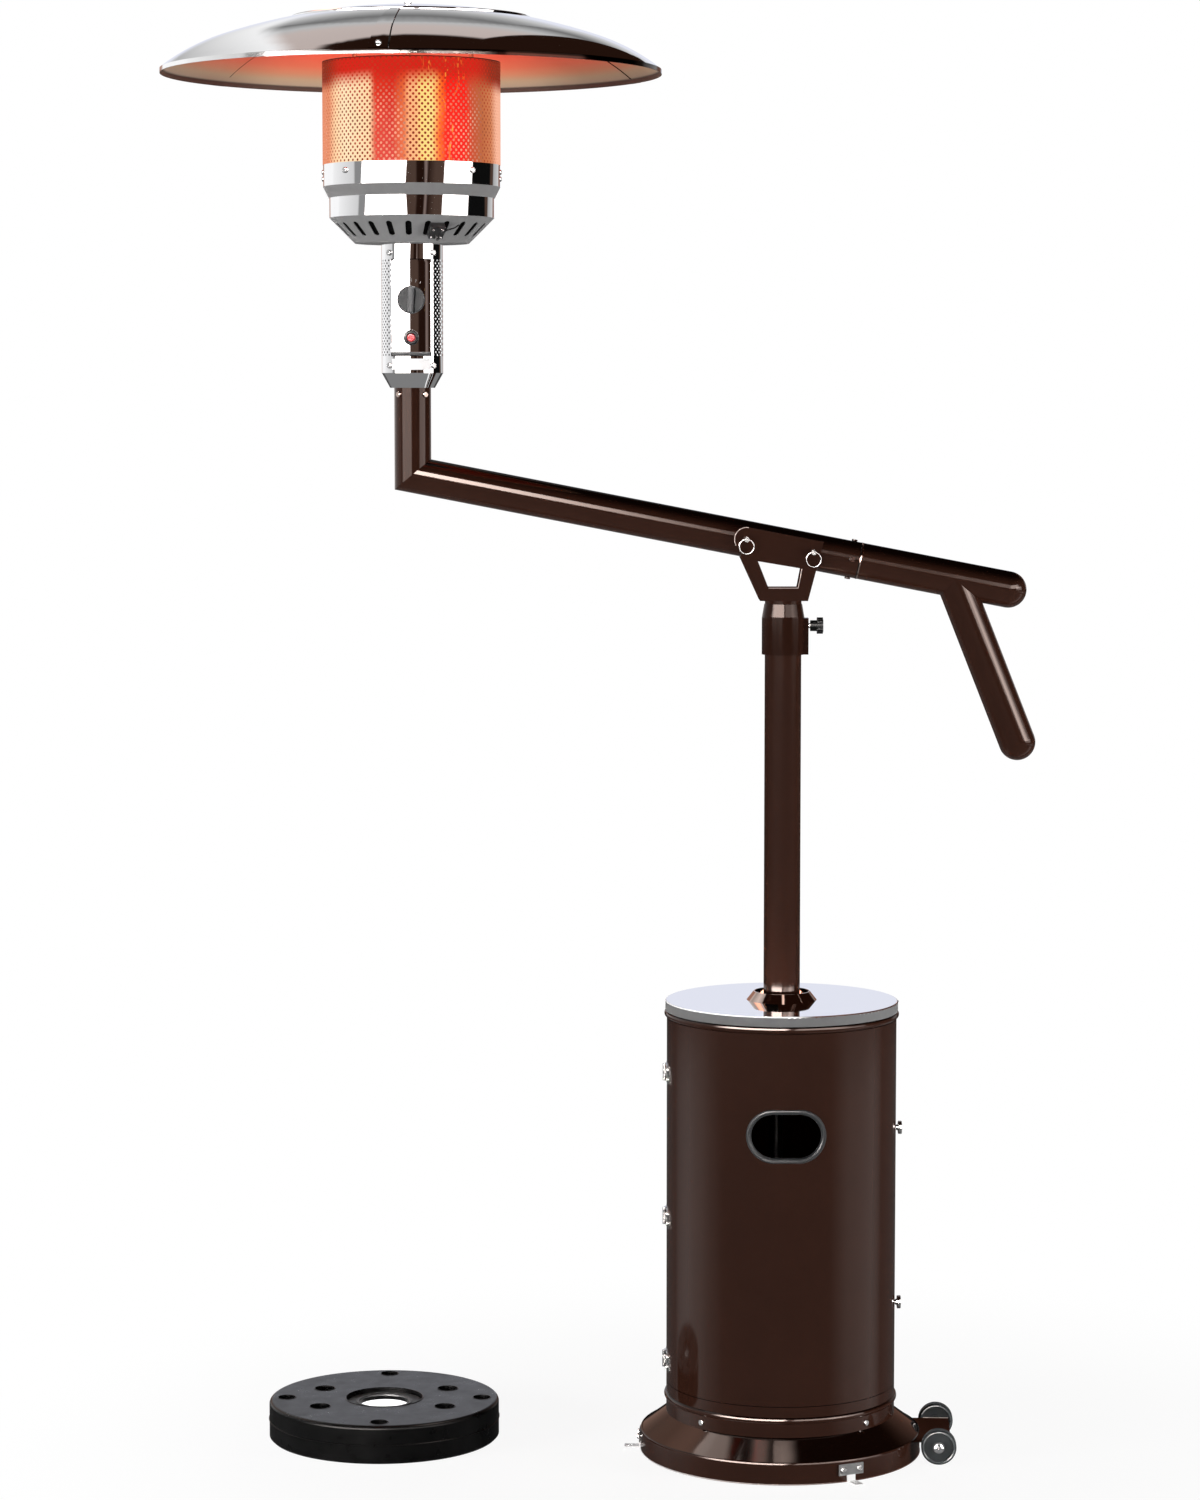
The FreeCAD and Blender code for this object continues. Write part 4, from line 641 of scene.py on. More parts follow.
def glowing_sheet(finish):
    """Red-hot perforated steel: pale where the burner heats it most, red between."""
    material, tree, shader = new_material("glowing_sheet")
    place = local_place(tree)
    turn, rise = around_head(tree, place)
    waver = times(tree, math_node(tree, "SUBTRACT", noise(tree, place, 14, 3), 0.5), 0.05)
    colour = round_ramp(tree, span(tree, math_node(tree, "ADD", turn, waver), -1, 1), SHEET_BANDS)
    crest = math_node(tree, "ADD", rise, times(tree, waver, 2.0))
    hot = blend(tree, span(tree, crest, 0.70, 0.90, soft=True), colour, (0.66, 0.015, 0.007, 1))
    corner = times(tree, span(tree, math_node(tree, "ABSOLUTE", turn), 0.24, 0.38, soft=True),
                   span(tree, crest, 0.66, 0.84, soft=True))
    hot = blend(tree, corner, hot, (0.25, 0.026, 0.010, 1))
    flame_place = add(tree, "ShaderNodeCombineXYZ", {
        0: times(tree, turn, 22.0), 1: times(tree, rise, 1.8)}).outputs[0]
    streak = span(tree, noise(tree, flame_place, 1.6, 3, 0.6, 1.4), 0.60, 0.70)
    flames = times(tree, span(tree, turn, 0.02, 0.09, soft=True), span(tree, turn, 0.24, 0.15, soft=True))
    lick = times(tree, times(tree, streak, flames), 0.85)
    glow = blend(tree, lick, hot, (1.0, 0.48, 0.06, 1))
    dress(tree, shader, Base_Color=CHARRED, Roughness=0.5, Specular_IOR_Level=0.05,
          Emission_Color=glow, Emission_Strength=finish.glow)
    return material


def flame_core_glow(finish):
    """The hot inside that shows through the holes."""
    material, tree, shader = new_material("flame_core_glow")
    place = local_place(tree)
    turn, rise = around_head(tree, place)
    colour = round_ramp(tree, span(tree, turn, -1, 1), CORE_BANDS)
    glow = blend(tree, span(tree, rise, 0.45, 0.85, soft=True), colour, (0.55, 0.03, 0.012, 1))
    cloud = noise(tree, place, 35, 3)
    glow = blend(tree, span(tree, cloud, 0.45, 0.8), glow, (0.6, 0.05, 0.02, 1))
    dress(tree, shader, Base_Color=CHARRED, Roughness=0.8, Specular_IOR_Level=0.0,
          Emission_Color=glow, Emission_Strength=finish.glow)
    return material


def black_and_painted_shade():
    """Near-black sheet: the dark of joints and of the switch's lead, and painted shade inside the burner cup and
    beside the gas knob's grip.
    """
    material, tree, shader = new_material("black_and_painted_shade")
    cloud = noise(tree, local_place(tree), 60, 4)
    colour = mottle(tree, cloud, grey(0.003), grey(0.008))
    dress(tree, shader, Base_Color=colour, Roughness=0.9, Specular_IOR_Level=0.05)
    return material


def hot_lid(finish):
    """Lid over the flame: its top lights the reflector, and its edge is sooted."""
    material, tree, shader = new_material("hot_lid")
    cloud = noise(tree, local_place(tree), 20, 4)
    glow = mottle(tree, cloud, (1.0, 0.16, 0.035, 1), (1.0, 0.26, 0.07, 1))
    facing = facing_up(tree)
    dress(tree, shader, Base_Color=(0.03, 0.012, 0.010, 1), Roughness=0.7, Specular_IOR_Level=0.1,
          Emission_Color=glow, Emission_Strength=span(tree, facing, 0.6, 0.8, 0.0, finish.lid_glow))
    return material


# Mesh helpers


WELD, ON_AXIS = 0.002 * MM, 1e-7
SHARP_ANGLE, ROUND_ANGLE, FLAT_ANGLE = math.radians(20), math.radians(38), math.radians(0.6)
KEY_STEPS = 32


def new_piece(name, mesh, material, body, smooth=True):
    """Put a finished bmesh into the scene as a piece that rides on a body."""
    bmesh.ops.recalc_face_normals(mesh, faces=mesh.faces)
    data = bpy.data.meshes.new(name)
    mesh.to_mesh(data)
    mesh.free()
    piece = bpy.data.objects.new(name, data)
    bpy.context.scene.collection.objects.link(piece)
    data.materials.append(material)
    if smooth:
        soften(piece)
    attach(piece, body)
    return piece


def soft_edges():
    """Geometry nodes that weld a mesh and shade it smooth, but for its sharp edges."""
    group = bpy.data.node_groups.get("soft_edges")
    if group:
        return group
    group = bpy.data.node_groups.new("soft_edges", "GeometryNodeTree")
    group.interface.new_socket("Geometry", in_out="INPUT", socket_type="NodeSocketGeometry")
    group.interface.new_socket("Geometry", in_out="OUTPUT", socket_type="NodeSocketGeometry")
    start, end = add(group, "NodeGroupInput"), add(group, "NodeGroupOutput")
    weld = add(group, "GeometryNodeMergeByDistance", {"Geometry": start.outputs[0], "Distance": WELD})
    faces = add(group, "GeometryNodeSetShadeSmooth", {"Geometry": weld.outputs[0], "Shade Smooth": True})
    angle = add(group, "GeometryNodeInputMeshEdgeAngle").outputs["Unsigned Angle"]
    sharp = add(group, "FunctionNodeCompare", {0: angle, 1: SHARP_ANGLE}, operation="GREATER_THAN")
    edges = add(group, "GeometryNodeSetShadeSmooth",
                {"Geometry": faces.outputs[0], "Selection": sharp.outputs[0], "Shade Smooth": False}, domain="EDGE")
    group.links.new(edges.outputs[0], end.inputs[0])
    return group


def soften(piece):
    """Shade a piece smooth, but for its sharp edges."""
    modifier = piece.modifiers.new("soft_edges", "NODES")
    modifier.node_group = soft_edges()
    normals = piece.modifiers.new("even_normals", "WEIGHTED_NORMAL")
    normals.keep_sharp = True


def round_edges(piece, width, segments=3):
    """Round a node's sharp edges, after its flat facets are joined."""
    weld = piece.modifiers.new("weld", "WELD")
    weld.merge_threshold = WELD
    flat = piece.modifiers.new("flat_facets", "DECIMATE")
    flat.decimate_type, flat.angle_limit = "DISSOLVE", FLAT_ANGLE
    bevel = piece.modifiers.new("round_edges", "BEVEL")
    bevel.width, bevel.segments, bevel.limit_method = width, segments, "ANGLE"
    bevel.angle_limit = ROUND_ANGLE
    bevel.use_clamp_overlap = True


def finish_nodes(names, material, edge=0.0, segments=3):
    """Give CAD nodes a finish, rounded edges where asked, and soft shading."""
    for name in names:
        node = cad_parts[name]
        node.data.materials.clear()
        node.data.materials.append(material)
        if edge:
            round_edges(node, edge, segments)
        soften(node)


def lathe(mesh, profile, centre, steps, axis=UP):
    """Turn a profile of (radius, height) about an axis through a point."""
    home = Matrix.Translation(centre) @ UP.rotation_difference(axis).to_matrix().to_4x4()
    angles = [2 * math.pi * step / steps for step in range(steps)]
    rings = []
    for radius, height in profile:
        around = [0.0] if radius < ON_AXIS else angles
        rings.append([mesh.verts.new(home @ Vector((radius * math.cos(a), radius * math.sin(a), height)))
                      for a in around])
    for first, second in zip(rings, rings[1:]):
        for step in range(steps):
            after = (step + 1) % steps
            corners = [first[step % len(first)], first[after % len(first)],
                       second[after % len(second)], second[step % len(second)]]
            unique = list(dict.fromkeys(corners))
            if len(unique) > 2:
                mesh.faces.new(unique)


def skin(mesh, rows, closed=True):
    """Join rings or open rows of vertices, each to the next."""
    count = len(rows[0])
    for first, second in zip(rows, rows[1:]):
        for step in range(count if closed else count - 1):
            after = (step + 1) % count
            mesh.faces.new((first[step], first[after], second[after], second[step]))


def rounded_block(mesh, low, high, radius, home):
    """A block with rounded edges, moved to its home."""
    made = bmesh.ops.create_cube(mesh, size=1.0)["verts"]
    for vert in made:
        vert.co = Vector(low[i] + (vert.co[i] + 0.5) * (high[i] - low[i]) for i in range(3))
    edges = {edge for vert in made for edge in vert.link_edges}
    done = bmesh.ops.bevel(mesh, geom=list(edges), offset=radius, segments=3, profile=0.5, affect="EDGES")
    verts = {vert for face in done["faces"] for vert in face.verts}
    bmesh.ops.transform(mesh, matrix=home, verts=list(verts))


def perforated_wrap(mesh, centre, radius, low, high, start, sweep, pitch, row, hole):
    """A curved sheet with staggered rows of round holes, wrapped from one angle through a sweep."""
    closed = abs(sweep - 2 * math.pi) < 1e-6
    columns = max(3, round(radius * sweep / pitch))
    rows = max(2, round((high - low) / row))
    wide, tall = sweep / columns, (high - low) / rows
    seam = {}
    eighths = [math.pi * step / 4 for step in range(8)]

    def place(turn, height):
        angle = start + turn
        return centre.x + radius * math.sin(angle), centre.y - radius * math.cos(angle), low + height

    def point(turn, height):
        """A corner, which the cells beside it share."""
        column = round(turn / wide * KEY_STEPS)
        key = (column % (columns * KEY_STEPS) if closed else column, round(height / tall * KEY_STEPS))
        if key not in seam:
            seam[key] = mesh.verts.new(place(turn, height))
        return seam[key]

    for line in range(rows):
        shift = 0.5 if line % 2 else 0.0
        cells = range(columns) if closed else range(columns + (1 if shift else 0))
        for cell in cells:
            left = (cell - shift) * wide
            right = left + wide
            if not closed:
                left, right = max(left, 0.0), min(right, sweep)
            bottom, top = line * tall, (line + 1) * tall
            mid, level = (left + right) / 2, (bottom + top) / 2
            outer = [point(right, level), point(right, top), point(mid, top), point(left, top), point(left, level),
                     point(left, bottom), point(mid, bottom), point(right, bottom)]
            if right - left < wide * 0.75:
                mesh.faces.new(outer)
                continue
            inner = [mesh.verts.new(place(mid + hole / radius * math.cos(a), level + hole * math.sin(a)))
                     for a in eighths]
            skin(mesh, (outer, inner))


def tube_along(mesh, points, radius, sides=8, across=None):
    """A round tube through points, closed at both ends; across is square to their plane, where they have one."""
    angles = [2 * math.pi * step / sides for step in range(sides)]
    rings = []
    for index, point in enumerate(points):
        ahead = points[min(index + 1, len(points) - 1)] - points[max(index - 1, 0)]
        first = ahead.orthogonal().normalized() if across is None else across
        second = ahead.cross(first).normalized()
        rings.append([mesh.verts.new(point + radius * (first * math.cos(a) + second * math.sin(a)))
                      for a in angles])
    skin(mesh, rings)
    mesh.faces.new(rings[0])
    mesh.faces.new(rings[-1])


def stadium(wide, tall, steps):
    """Points round an outline with two half-round ends."""
    flat, radius = (wide - tall) / 2, tall / 2
    points = []
    for side, start in ((1, -math.pi / 2), (-1, math.pi / 2)):
        for step in range(steps + 1):
            angle = start + math.pi * step / steps
            points.append((side * flat + radius * math.cos(angle), radius * math.sin(angle)))
    return points


def dome_point(radius):
    """Slope and height of the reflector's outside at a radius."""
    if radius <= KNEE_R:
        slope = math.asin(radius / DOME_R)
        return slope, CROWN_Z - DOME_R * (1 - math.cos(slope))
    knee = math.asin(KNEE_R / DOME_R)
    slope = math.asin((radius - KNEE_R) / BROW_R + math.sin(knee))
    knee_z = CROWN_Z - DOME_R * (1 - math.cos(knee))
    return slope, knee_z - BROW_R * (math.cos(knee) - math.cos(slope))


def on_dome(radius, azimuth):
    """A point on the reflector's outside and the way it faces."""
    slope, height = dome_point(radius)
    out = Vector((math.cos(azimuth), math.sin(azimuth), 0))
    normal = (out * math.sin(slope) + UP * math.cos(slope)).normalized()
    return Vector((HEAD.x, HEAD.y, height)) + out * radius, normal


def seam_ribbon(mesh, azimuth, wide=1.7 * MM, lift=1.0 * MM):
    """The dark joint beside a lap, from the cap down to the rim."""
    rows = []
    for step in range(SEAM_STEPS + 1):
        radius = CAP_R + 1 * MM + (RIM_R - CAP_R - 2.5 * MM) * step / SEAM_STEPS
        place, normal = on_dome(radius, azimuth)
        across = normal.cross(Vector((math.cos(azimuth), math.sin(azimuth), 0))).normalized()
        rows.append([mesh.verts.new(place + normal * lift + across * side * wide / 2) for side in (-1, 1)])
    skin(mesh, rows, closed=False)


def bowed_sheet(mesh, bow, levels):
    """The control panel's curved sheet, from levels of (height, set back, share of the width)."""
    half, columns, rows = (PANEL_HIGH.x - PANEL_LOW.x) / 2, 33, []
    for z, back, width in levels:
        shares = [width * (2 * step / (columns - 1) - 1) for step in range(columns)]
        rows.append([mesh.verts.new((HEAD.x + share * half, PANEL_LOW.y + back + bow * share ** 2, z))
                     for share in shares])
    skin(mesh, rows, closed=False)


def sloped_profile(start, parts):
    """Points of (radius, height) along short flats, each given as its tilt in degrees and its length."""
    points = [start]
    for tilt, length in parts:
        radius, height = points[-1]
        angle = math.radians(tilt)
        points.append((radius - length * MM * math.sin(angle), height + length * MM * math.cos(angle)))
    return points


def rolled_lip(mesh, centre, radius, size, steps):
    """A low rounded lip round a hole, in a level face."""
    lip = in_mm((1.7, 0.02), (1.3, 0.45), (0.5, 0.6), (-0.1, 0.25), (-0.25, -1.2))
    lathe(mesh, [(radius + size * out, size * up) for out, up in lip], centre, steps)


def curved_strip(mesh, radius, low, high, start, sweep, columns):
    """A plain curved sheet about the head's axis, from one angle through a sweep."""
    angles = [start + sweep * step / columns for step in range(columns + 1)]
    rows = [[mesh.verts.new((HEAD.x + radius * math.sin(a), HEAD.y - radius * math.cos(a), z)) for a in angles]
            for z in (low, high)]
    skin(mesh, rows, closed=False)


def thicken(piece, thickness, offset):
    """Give a sheet its thickness, before its shading is softened."""
    modifier = piece.modifiers.new("sheet", "SOLIDIFY")
    modifier.thickness = thickness
    modifier.offset = offset
    soften(piece)


# Operators


class HeaterOperator(bpy.types.Operator):
    """Base of the heater's operators."""

    bl_options = {"REGISTER", "UNDO"}


class HEATER_OT_paint_steelwork(HeaterOperator):
    """Paint the housing, pole, arm and base"""

    bl_idname = "heater.paint_steelwork"
    bl_label = "Paint steelwork"

    def execute(self, context):
        finish = finish_of(context)
        paint = gloss_paint_top_shading(finish)
        finish_nodes(PAINTED, paint)
        finish_nodes(("cheek_front", "cheek_rear"), paint, 0.7 * MM)
        # The collar takes a darker copy of the paint, as painted shade
        finish_nodes(("swivel_collar",), gloss_paint_top_shading(finish, 0.75, 0.09))
        # The bracket's level top is painted 2.8 times lighter than the paint, as painted light
        finish_nodes(("wheel_bracket",), gloss_paint_top_shading(finish, 1.0, 0.04, 1.0, 2.8), 0.7 * MM)
        finish_nodes(("flange_ring",), polished_bronze(finish))
        return {"FINISHED"}


class HEATER_OT_plate_hardware(HeaterOperator):
    """Plate the hinges, pins, brackets and inner steel"""

    bl_idname = "heater.plate_hardware"
    bl_label = "Plate hardware"

    def execute(self, context):
        finish = finish_of(context)
        plated = plated_steel(finish)
        finish_nodes(PLATED, plated)
        finish_nodes(SCREWS, plated, 1.6 * MM, 4)
        finish_nodes(PINS, pin_steel(finish))
        finish_nodes(("arm_screws",), arm_screw_finish(finish), 1.6 * MM, 4)
        # The inner steel is painted nearly black, as the shade inside the housing and the cup
        finish_nodes(INNER_STEEL_PAINTED_DARK, brushed_steel_painted_shade(finish))
        finish_nodes(("anchor_brackets",), anchor_steel())
        finish_nodes(("valve_body",), turned_brass())
        return {"FINISHED"}


class HEATER_OT_polish_head(HeaterOperator):
    """Polish the cup, the control housing, the cover and the reflector, and heat the lid"""

    bl_idname = "heater.polish_head"
    bl_label = "Polish head"

    def execute(self, context):
        finish = finish_of(context)
        finish_nodes(MIRROR, mirror_chrome(finish))
        finish_nodes(("top_cover",), part_satin("cover_chrome", finish, 0.15))
        slopes = ((CUP_LOW.z - 5 * MM, CUP_LOW.z + 41 * MM), (BAND_LOW.z, BAND_LOW.z + 18 * MM))
        finish_nodes(("cup_lower", "cup_upper"), part_satin("cup_chrome", finish, 0.165, slopes))
        finish_nodes(REFLECTOR, spun_reflector_with_painted_glow(finish))
        finish_nodes(("emitter_lid",), hot_lid(finish))
        return {"FINISHED"}


class HEATER_OT_mould_plastics(HeaterOperator):
    """Finish the igniter, switch, clamp knob, reservoir and wheels"""

    bl_idname = "heater.mould_plastics"
    bl_label = "Mould plastics"

    def execute(self, context):
        finish = finish_of(context)
        plastic = moulded_plastic("black_moulding", finish.plastic, 0.34, 0.48, FINE_GRAIN)
        finish_nodes(("igniter_body", "tilt_switch"), plastic, 1.2 * MM)
        glossy = moulded_plastic("knob_black", tint(finish.plastic, 0.6), 0.3, 0.4, FINE_GRAIN, 0.12)
        finish_nodes(("clamp_knob",), glossy, 1.2 * MM)
        finish_nodes(("ballast_reservoir",), satin_reservoir(finish))
        rubber = moulded_plastic("wheel_rubber", tint(finish.rubber, 1.6), 0.42, 0.58, RUBBER_GRAIN, 0.06)
        finish_nodes(("wheel_front", "wheel_rear"), rubber)
        red = moulded_plastic("button_red", finish.button, 0.22, 0.32, 2000)
        finish_nodes(("igniter_button",), red, 1.5 * MM)
        return {"FINISHED"}


class HEATER_OT_emitter_screen(HeaterOperator):
    """Wrap the perforated emitter screen round its glowing core, over the burner's baffle"""

    bl_idname = "heater.emitter_screen"
    bl_label = "Emitter screen"

    def execute(self, context):
        sizes, finish = sizes_of(context), finish_of(context)
        radius = (SCREEN_HIGH.x - SCREEN_LOW.x) / 2
        mesh = bmesh.new()
        perforated_wrap(mesh, HEAD, radius, SCREEN_LOW.z, SCREEN_HIGH.z, -math.pi, 2 * math.pi,
                        sizes.screen_pitch, sizes.screen_row, sizes.screen_hole)
        screen = new_piece("emitter_perforated_screen", mesh, glowing_sheet(finish), "arm", False)
        thicken(screen, sizes.sheet, -1)
        screen.visible_glossy = False
        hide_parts("emitter_screen")
        # The baffle and the cone behind the cup's slots are dark sheets, painted shade inside the cup
        baffle = bmesh.new()
        lathe(baffle, [(0, 2 * MM), (radius - 4 * MM, 2 * MM), (radius - 3 * MM, 0), (0, 0)],
              Vector((HEAD.x, HEAD.y, SCREEN_LOW.z - 6 * MM)), sizes.round_steps)
        lathe(baffle, [(86 * MM, CUP_LOW.z + 3 * MM), (128.5 * MM, CUP_LOW.z + 43.5 * MM)],
              Vector((HEAD.x, HEAD.y, 0)), sizes.round_steps)
        new_piece("burner_baffle", baffle, black_and_painted_shade(), "arm")
        inner = radius - 7 * MM
        tube = bmesh.new()
        lathe(tube, [(inner, 0), (inner, SCREEN_HIGH.z - SCREEN_LOW.z - 2 * MM)],
              Vector((HEAD.x, HEAD.y, SCREEN_LOW.z + 1 * MM)), sizes.round_steps)
        core = new_piece("emitter_flame_core", tube, flame_core_glow(finish), "arm", False)
        thicken(core, sizes.sheet, -1)
        core.visible_glossy = False
        return {"FINISHED"}


class HEATER_OT_control_guard(HeaterOperator):
    """Wrap the perforated guard and its lining of painted shade and glow round the controls"""

    bl_idname = "heater.control_guard"
    bl_label = "Control guard"

    def execute(self, context):
        sizes = sizes_of(context)
        radius = (GUARD_HIGH.x - GUARD_LOW.x) / 2
        edge = math.asin((PANEL_HIGH.x - PANEL_LOW.x) / 2 / radius)
        sweep = 2 * math.pi - 2 * edge
        mesh = bmesh.new()
        perforated_wrap(mesh, HEAD, radius, GUARD_LOW.z, GUARD_HIGH.z, edge, sweep,
                        sizes.guard_pitch, sizes.guard_row, sizes.guard_hole)
        guard = new_piece("control_perforated_guard", mesh, mirror_chrome(finish_of(context)), "arm",
                          False)
        thicken(guard, sizes.sheet, -1)
        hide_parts("control_guard")
        liner = bmesh.new()
        curved_strip(liner, radius - 3 * MM, GUARD_LOW.z, GUARD_HIGH.z, edge, sweep, 64)
        new_piece("control_guard_painted_lining", liner, guard_lining_painted_shade_glow(), "arm")
        return {"FINISHED"}


class HEATER_OT_control_panel(HeaterOperator):
    """Press the control panel's bowed front and the fold under it"""

    bl_idname = "heater.control_panel"
    bl_label = "Control panel"

    def execute(self, context):
        finish, bow = finish_of(context), sizes_of(context).panel_bow
        mesh = bmesh.new()
        bowed_sheet(mesh, bow, ((PANEL_LOW.z, 0, 1.0), (PANEL_HIGH.z - 5 * MM, 0, 1.0), (PANEL_HIGH.z, 0, 0.86)))
        panel = new_piece("control_panel_front", mesh, mirror_chrome(finish), "arm", False)
        lip = bmesh.new()
        bowed_sheet(lip, bow, ((PANEL_LOW.z - 6 * MM, 3 * MM, 0.97), (PANEL_LOW.z, -0.2 * MM, 1.0)))
        fold = part_satin("panel_fold", finish, 0.2)
        thicken(new_piece("control_panel_fold", lip, fold, "arm", False), 1 * MM, 1)
        thicken(panel, 1.5 * MM, -1)
        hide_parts("control_panel")
        return {"FINISHED"}


class HEATER_OT_label_plate(HeaterOperator):
    """Fix the bare plate on the ring under the controls"""

    bl_idname = "heater.label_plate"
    bl_label = "Bare plate"

    def execute(self, context):
        sizes = sizes_of(context)
        radius = (RING_HIGH.x - RING_LOW.x) / 2 + 0.3 * MM
        half = sizes.plate_width / 2 / radius
        low = GUARD_LOW.z - 4 * MM - sizes.plate_height
        mesh = bmesh.new()
        curved_strip(mesh, radius, low, low + sizes.plate_height, -half, 2 * half, 24)
        plate = new_piece("bare_plate", mesh, plain_plate(), "arm", False)
        thicken(plate, 0.4 * MM, 1)
        return {"FINISHED"}


class HEATER_OT_reflector_trim(HeaterOperator):
    """Run the seams down the reflector, with their screws, and roll the cap's edge"""

    bl_idname = "heater.reflector_trim"
    bl_label = "Reflector trim"

    def execute(self, context):
        steps = sizes_of(context).round_steps
        chrome = mirror_chrome(finish_of(context))
        mesh = bmesh.new()
        rise = dome_point(CAP_R)[1]
        bead = in_mm((-3, 3.2), (-1, 3.0), (0.6, 1.4), (0.6, -0.4), (-3, 0.2), (-3, 3.2))
        lathe(mesh, [(CAP_R + out, rise + up) for out, up in bead], Vector((HEAD.x, HEAD.y, 0)), 2 * steps)
        new_piece("reflector_cap_edge", mesh, chrome, "arm")
        seams, screws = bmesh.new(), bmesh.new()
        for turn in range(3):
            azimuth = SEAM_TURN + 2 * math.pi / 3 * turn
            seam_ribbon(seams, azimuth)
            if turn == 1:
                seam_ribbon(seams, azimuth, wide=5 * MM, lift=-1.9 * MM)
            else:
                seam_ribbon(seams, azimuth - LAP_TURN, lift=-1.7 * MM)
            place, normal = on_dome(SEAM_SCREW_R, azimuth - SEAM_SCREW_TURN)
            lathe(screws, DOME_HEAD, place, 24, normal)
        new_piece("reflector_seams", seams, black_and_painted_shade(), "arm", False)
        new_piece("reflector_seam_screws", screws, plated_steel(finish_of(context)), "arm")
        return {"FINISHED"}


class HEATER_OT_door_grommet(HeaterOperator):
    """Roll the soft lip round the door's hand hole"""

    bl_idname = "heater.door_grommet"
    bl_label = "Door grommet"

    def execute(self, context):
        low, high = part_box("door_grommet")
        wide, tall = high.x - low.x, high.z - low.z
        centre = (low + high) / 2
        shell = -low.y - 3 * MM
        mesh = bmesh.new()
        rings = []
        for inset, proud in GROMMET_LIP:
            ring = []
            for x, z in stadium(wide - 2 * inset, tall - 2 * inset, 30):
                ring.append(mesh.verts.new((centre.x + x, -math.sqrt((shell + proud) ** 2 - x * x), centre.z + z)))
            rings.append(ring)
        skin(mesh, rings)
        colour = tint(finish_of(context).plastic, 2.6)
        shade = moulded_plastic("grommet_moulding", colour, 0.26, 0.36, FINE_GRAIN, 0.14)
        lip = new_piece("door_grommet_lip", mesh, shade, "door")
        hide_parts("door_grommet")
        return {"FINISHED"}


class HEATER_OT_control_knob(HeaterOperator):
    """Turn the gas knob with its grip bar, lighter than the disc as a painted highlight, and dark lines of painted
    shade beside it
    """

    bl_idname = "heater.control_knob"
    bl_label = "Control knob"

    def execute(self, context):
        finish = finish_of(context)
        radius = (KNOB_HIGH.x - KNOB_LOW.x) / 2
        centre = middle("control_knob")
        back, front = KNOB_HIGH.y, KNOB_LOW.y
        thick, face = KNOB_DISC, back - KNOB_DISC
        mesh = bmesh.new()
        lathe(mesh, [(0, 0), (radius, 0), (radius, thick - 2 * MM), (radius - 0.6 * MM, thick - 0.8 * MM),
                     (radius - 1.6 * MM, thick), (0, thick)], Vector((centre.x, back, centre.z)), 72, FRONT)
        shade = moulded_plastic("knob_moulding", tint(finish.plastic, 4.0), 0.4, 0.52, FINE_GRAIN, 0.1)
        knob = new_piece("control_knob_disc", mesh, shade, "knob")
        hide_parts("control_knob")
        bar = bmesh.new()
        turn = Matrix.Translation((centre.x, 0, centre.z)) @ Matrix.Rotation(GRIP_TURN, 4, "Y")
        half, end, sunk = GRIP_HALF, radius - 1 * MM, face + 0.5 * MM
        rounded_block(bar, (-half, front, -end), (half, sunk, end), 2.2 * MM, turn)
        # The grip is a lighter copy of the knob's plastic, as painted highlight
        shade = moulded_plastic("grip_moulding_painted_highlight", tint(finish.plastic, 5.2), 0.34, 0.46, FINE_GRAIN, 0.14)
        new_piece("control_knob_grip", bar, shade, "knob")
        # Dark strips beside the grip, as painted shade
        lines, end = bmesh.new(), radius - 2 * MM
        rounded_block(lines, (half, face - 0.4 * MM, -end), (half + 1.8 * MM, sunk, end), 0.3 * MM, turn)
        rounded_block(lines, (-half - 0.6 * MM, face - 0.3 * MM, -end), (-half, sunk, end), 0.2 * MM, turn)
        new_piece("control_knob_painted_shade", lines, black_and_painted_shade(), "knob")
        return {"FINISHED"}


class HEATER_OT_dial_marks(HeaterOperator):
    """Print plain marks round the top of the gas knob"""

    bl_idname = "heater.dial_marks"
    bl_label = "Dial marks"

    def execute(self, context):
        bow = sizes_of(context).panel_bow
        half = (PANEL_HIGH.x - PANEL_LOW.x) / 2
        centre = middle("control_knob")
        mesh = bmesh.new()
        for degrees in DIAL_MARKS:
            angle = math.radians(degrees)
            x, z = DIAL_R * math.cos(angle), DIAL_R * math.sin(angle)
            y = PANEL_LOW.y + bow * (x / half) ** 2 - 0.25 * MM
            turn = Matrix.Translation((HEAD.x + x, y, centre.z + z)) @ Matrix.Rotation(math.pi / 2 - angle, 4, "Y")
            rounded_block(mesh, (-0.6 * MM, -0.1 * MM, -2 * MM), (0.6 * MM, 0.3 * MM, 2 * MM), 0.05 * MM, turn)
        new_piece("dial_marks", mesh, dial_ink(), "arm")
        return {"FINISHED"}


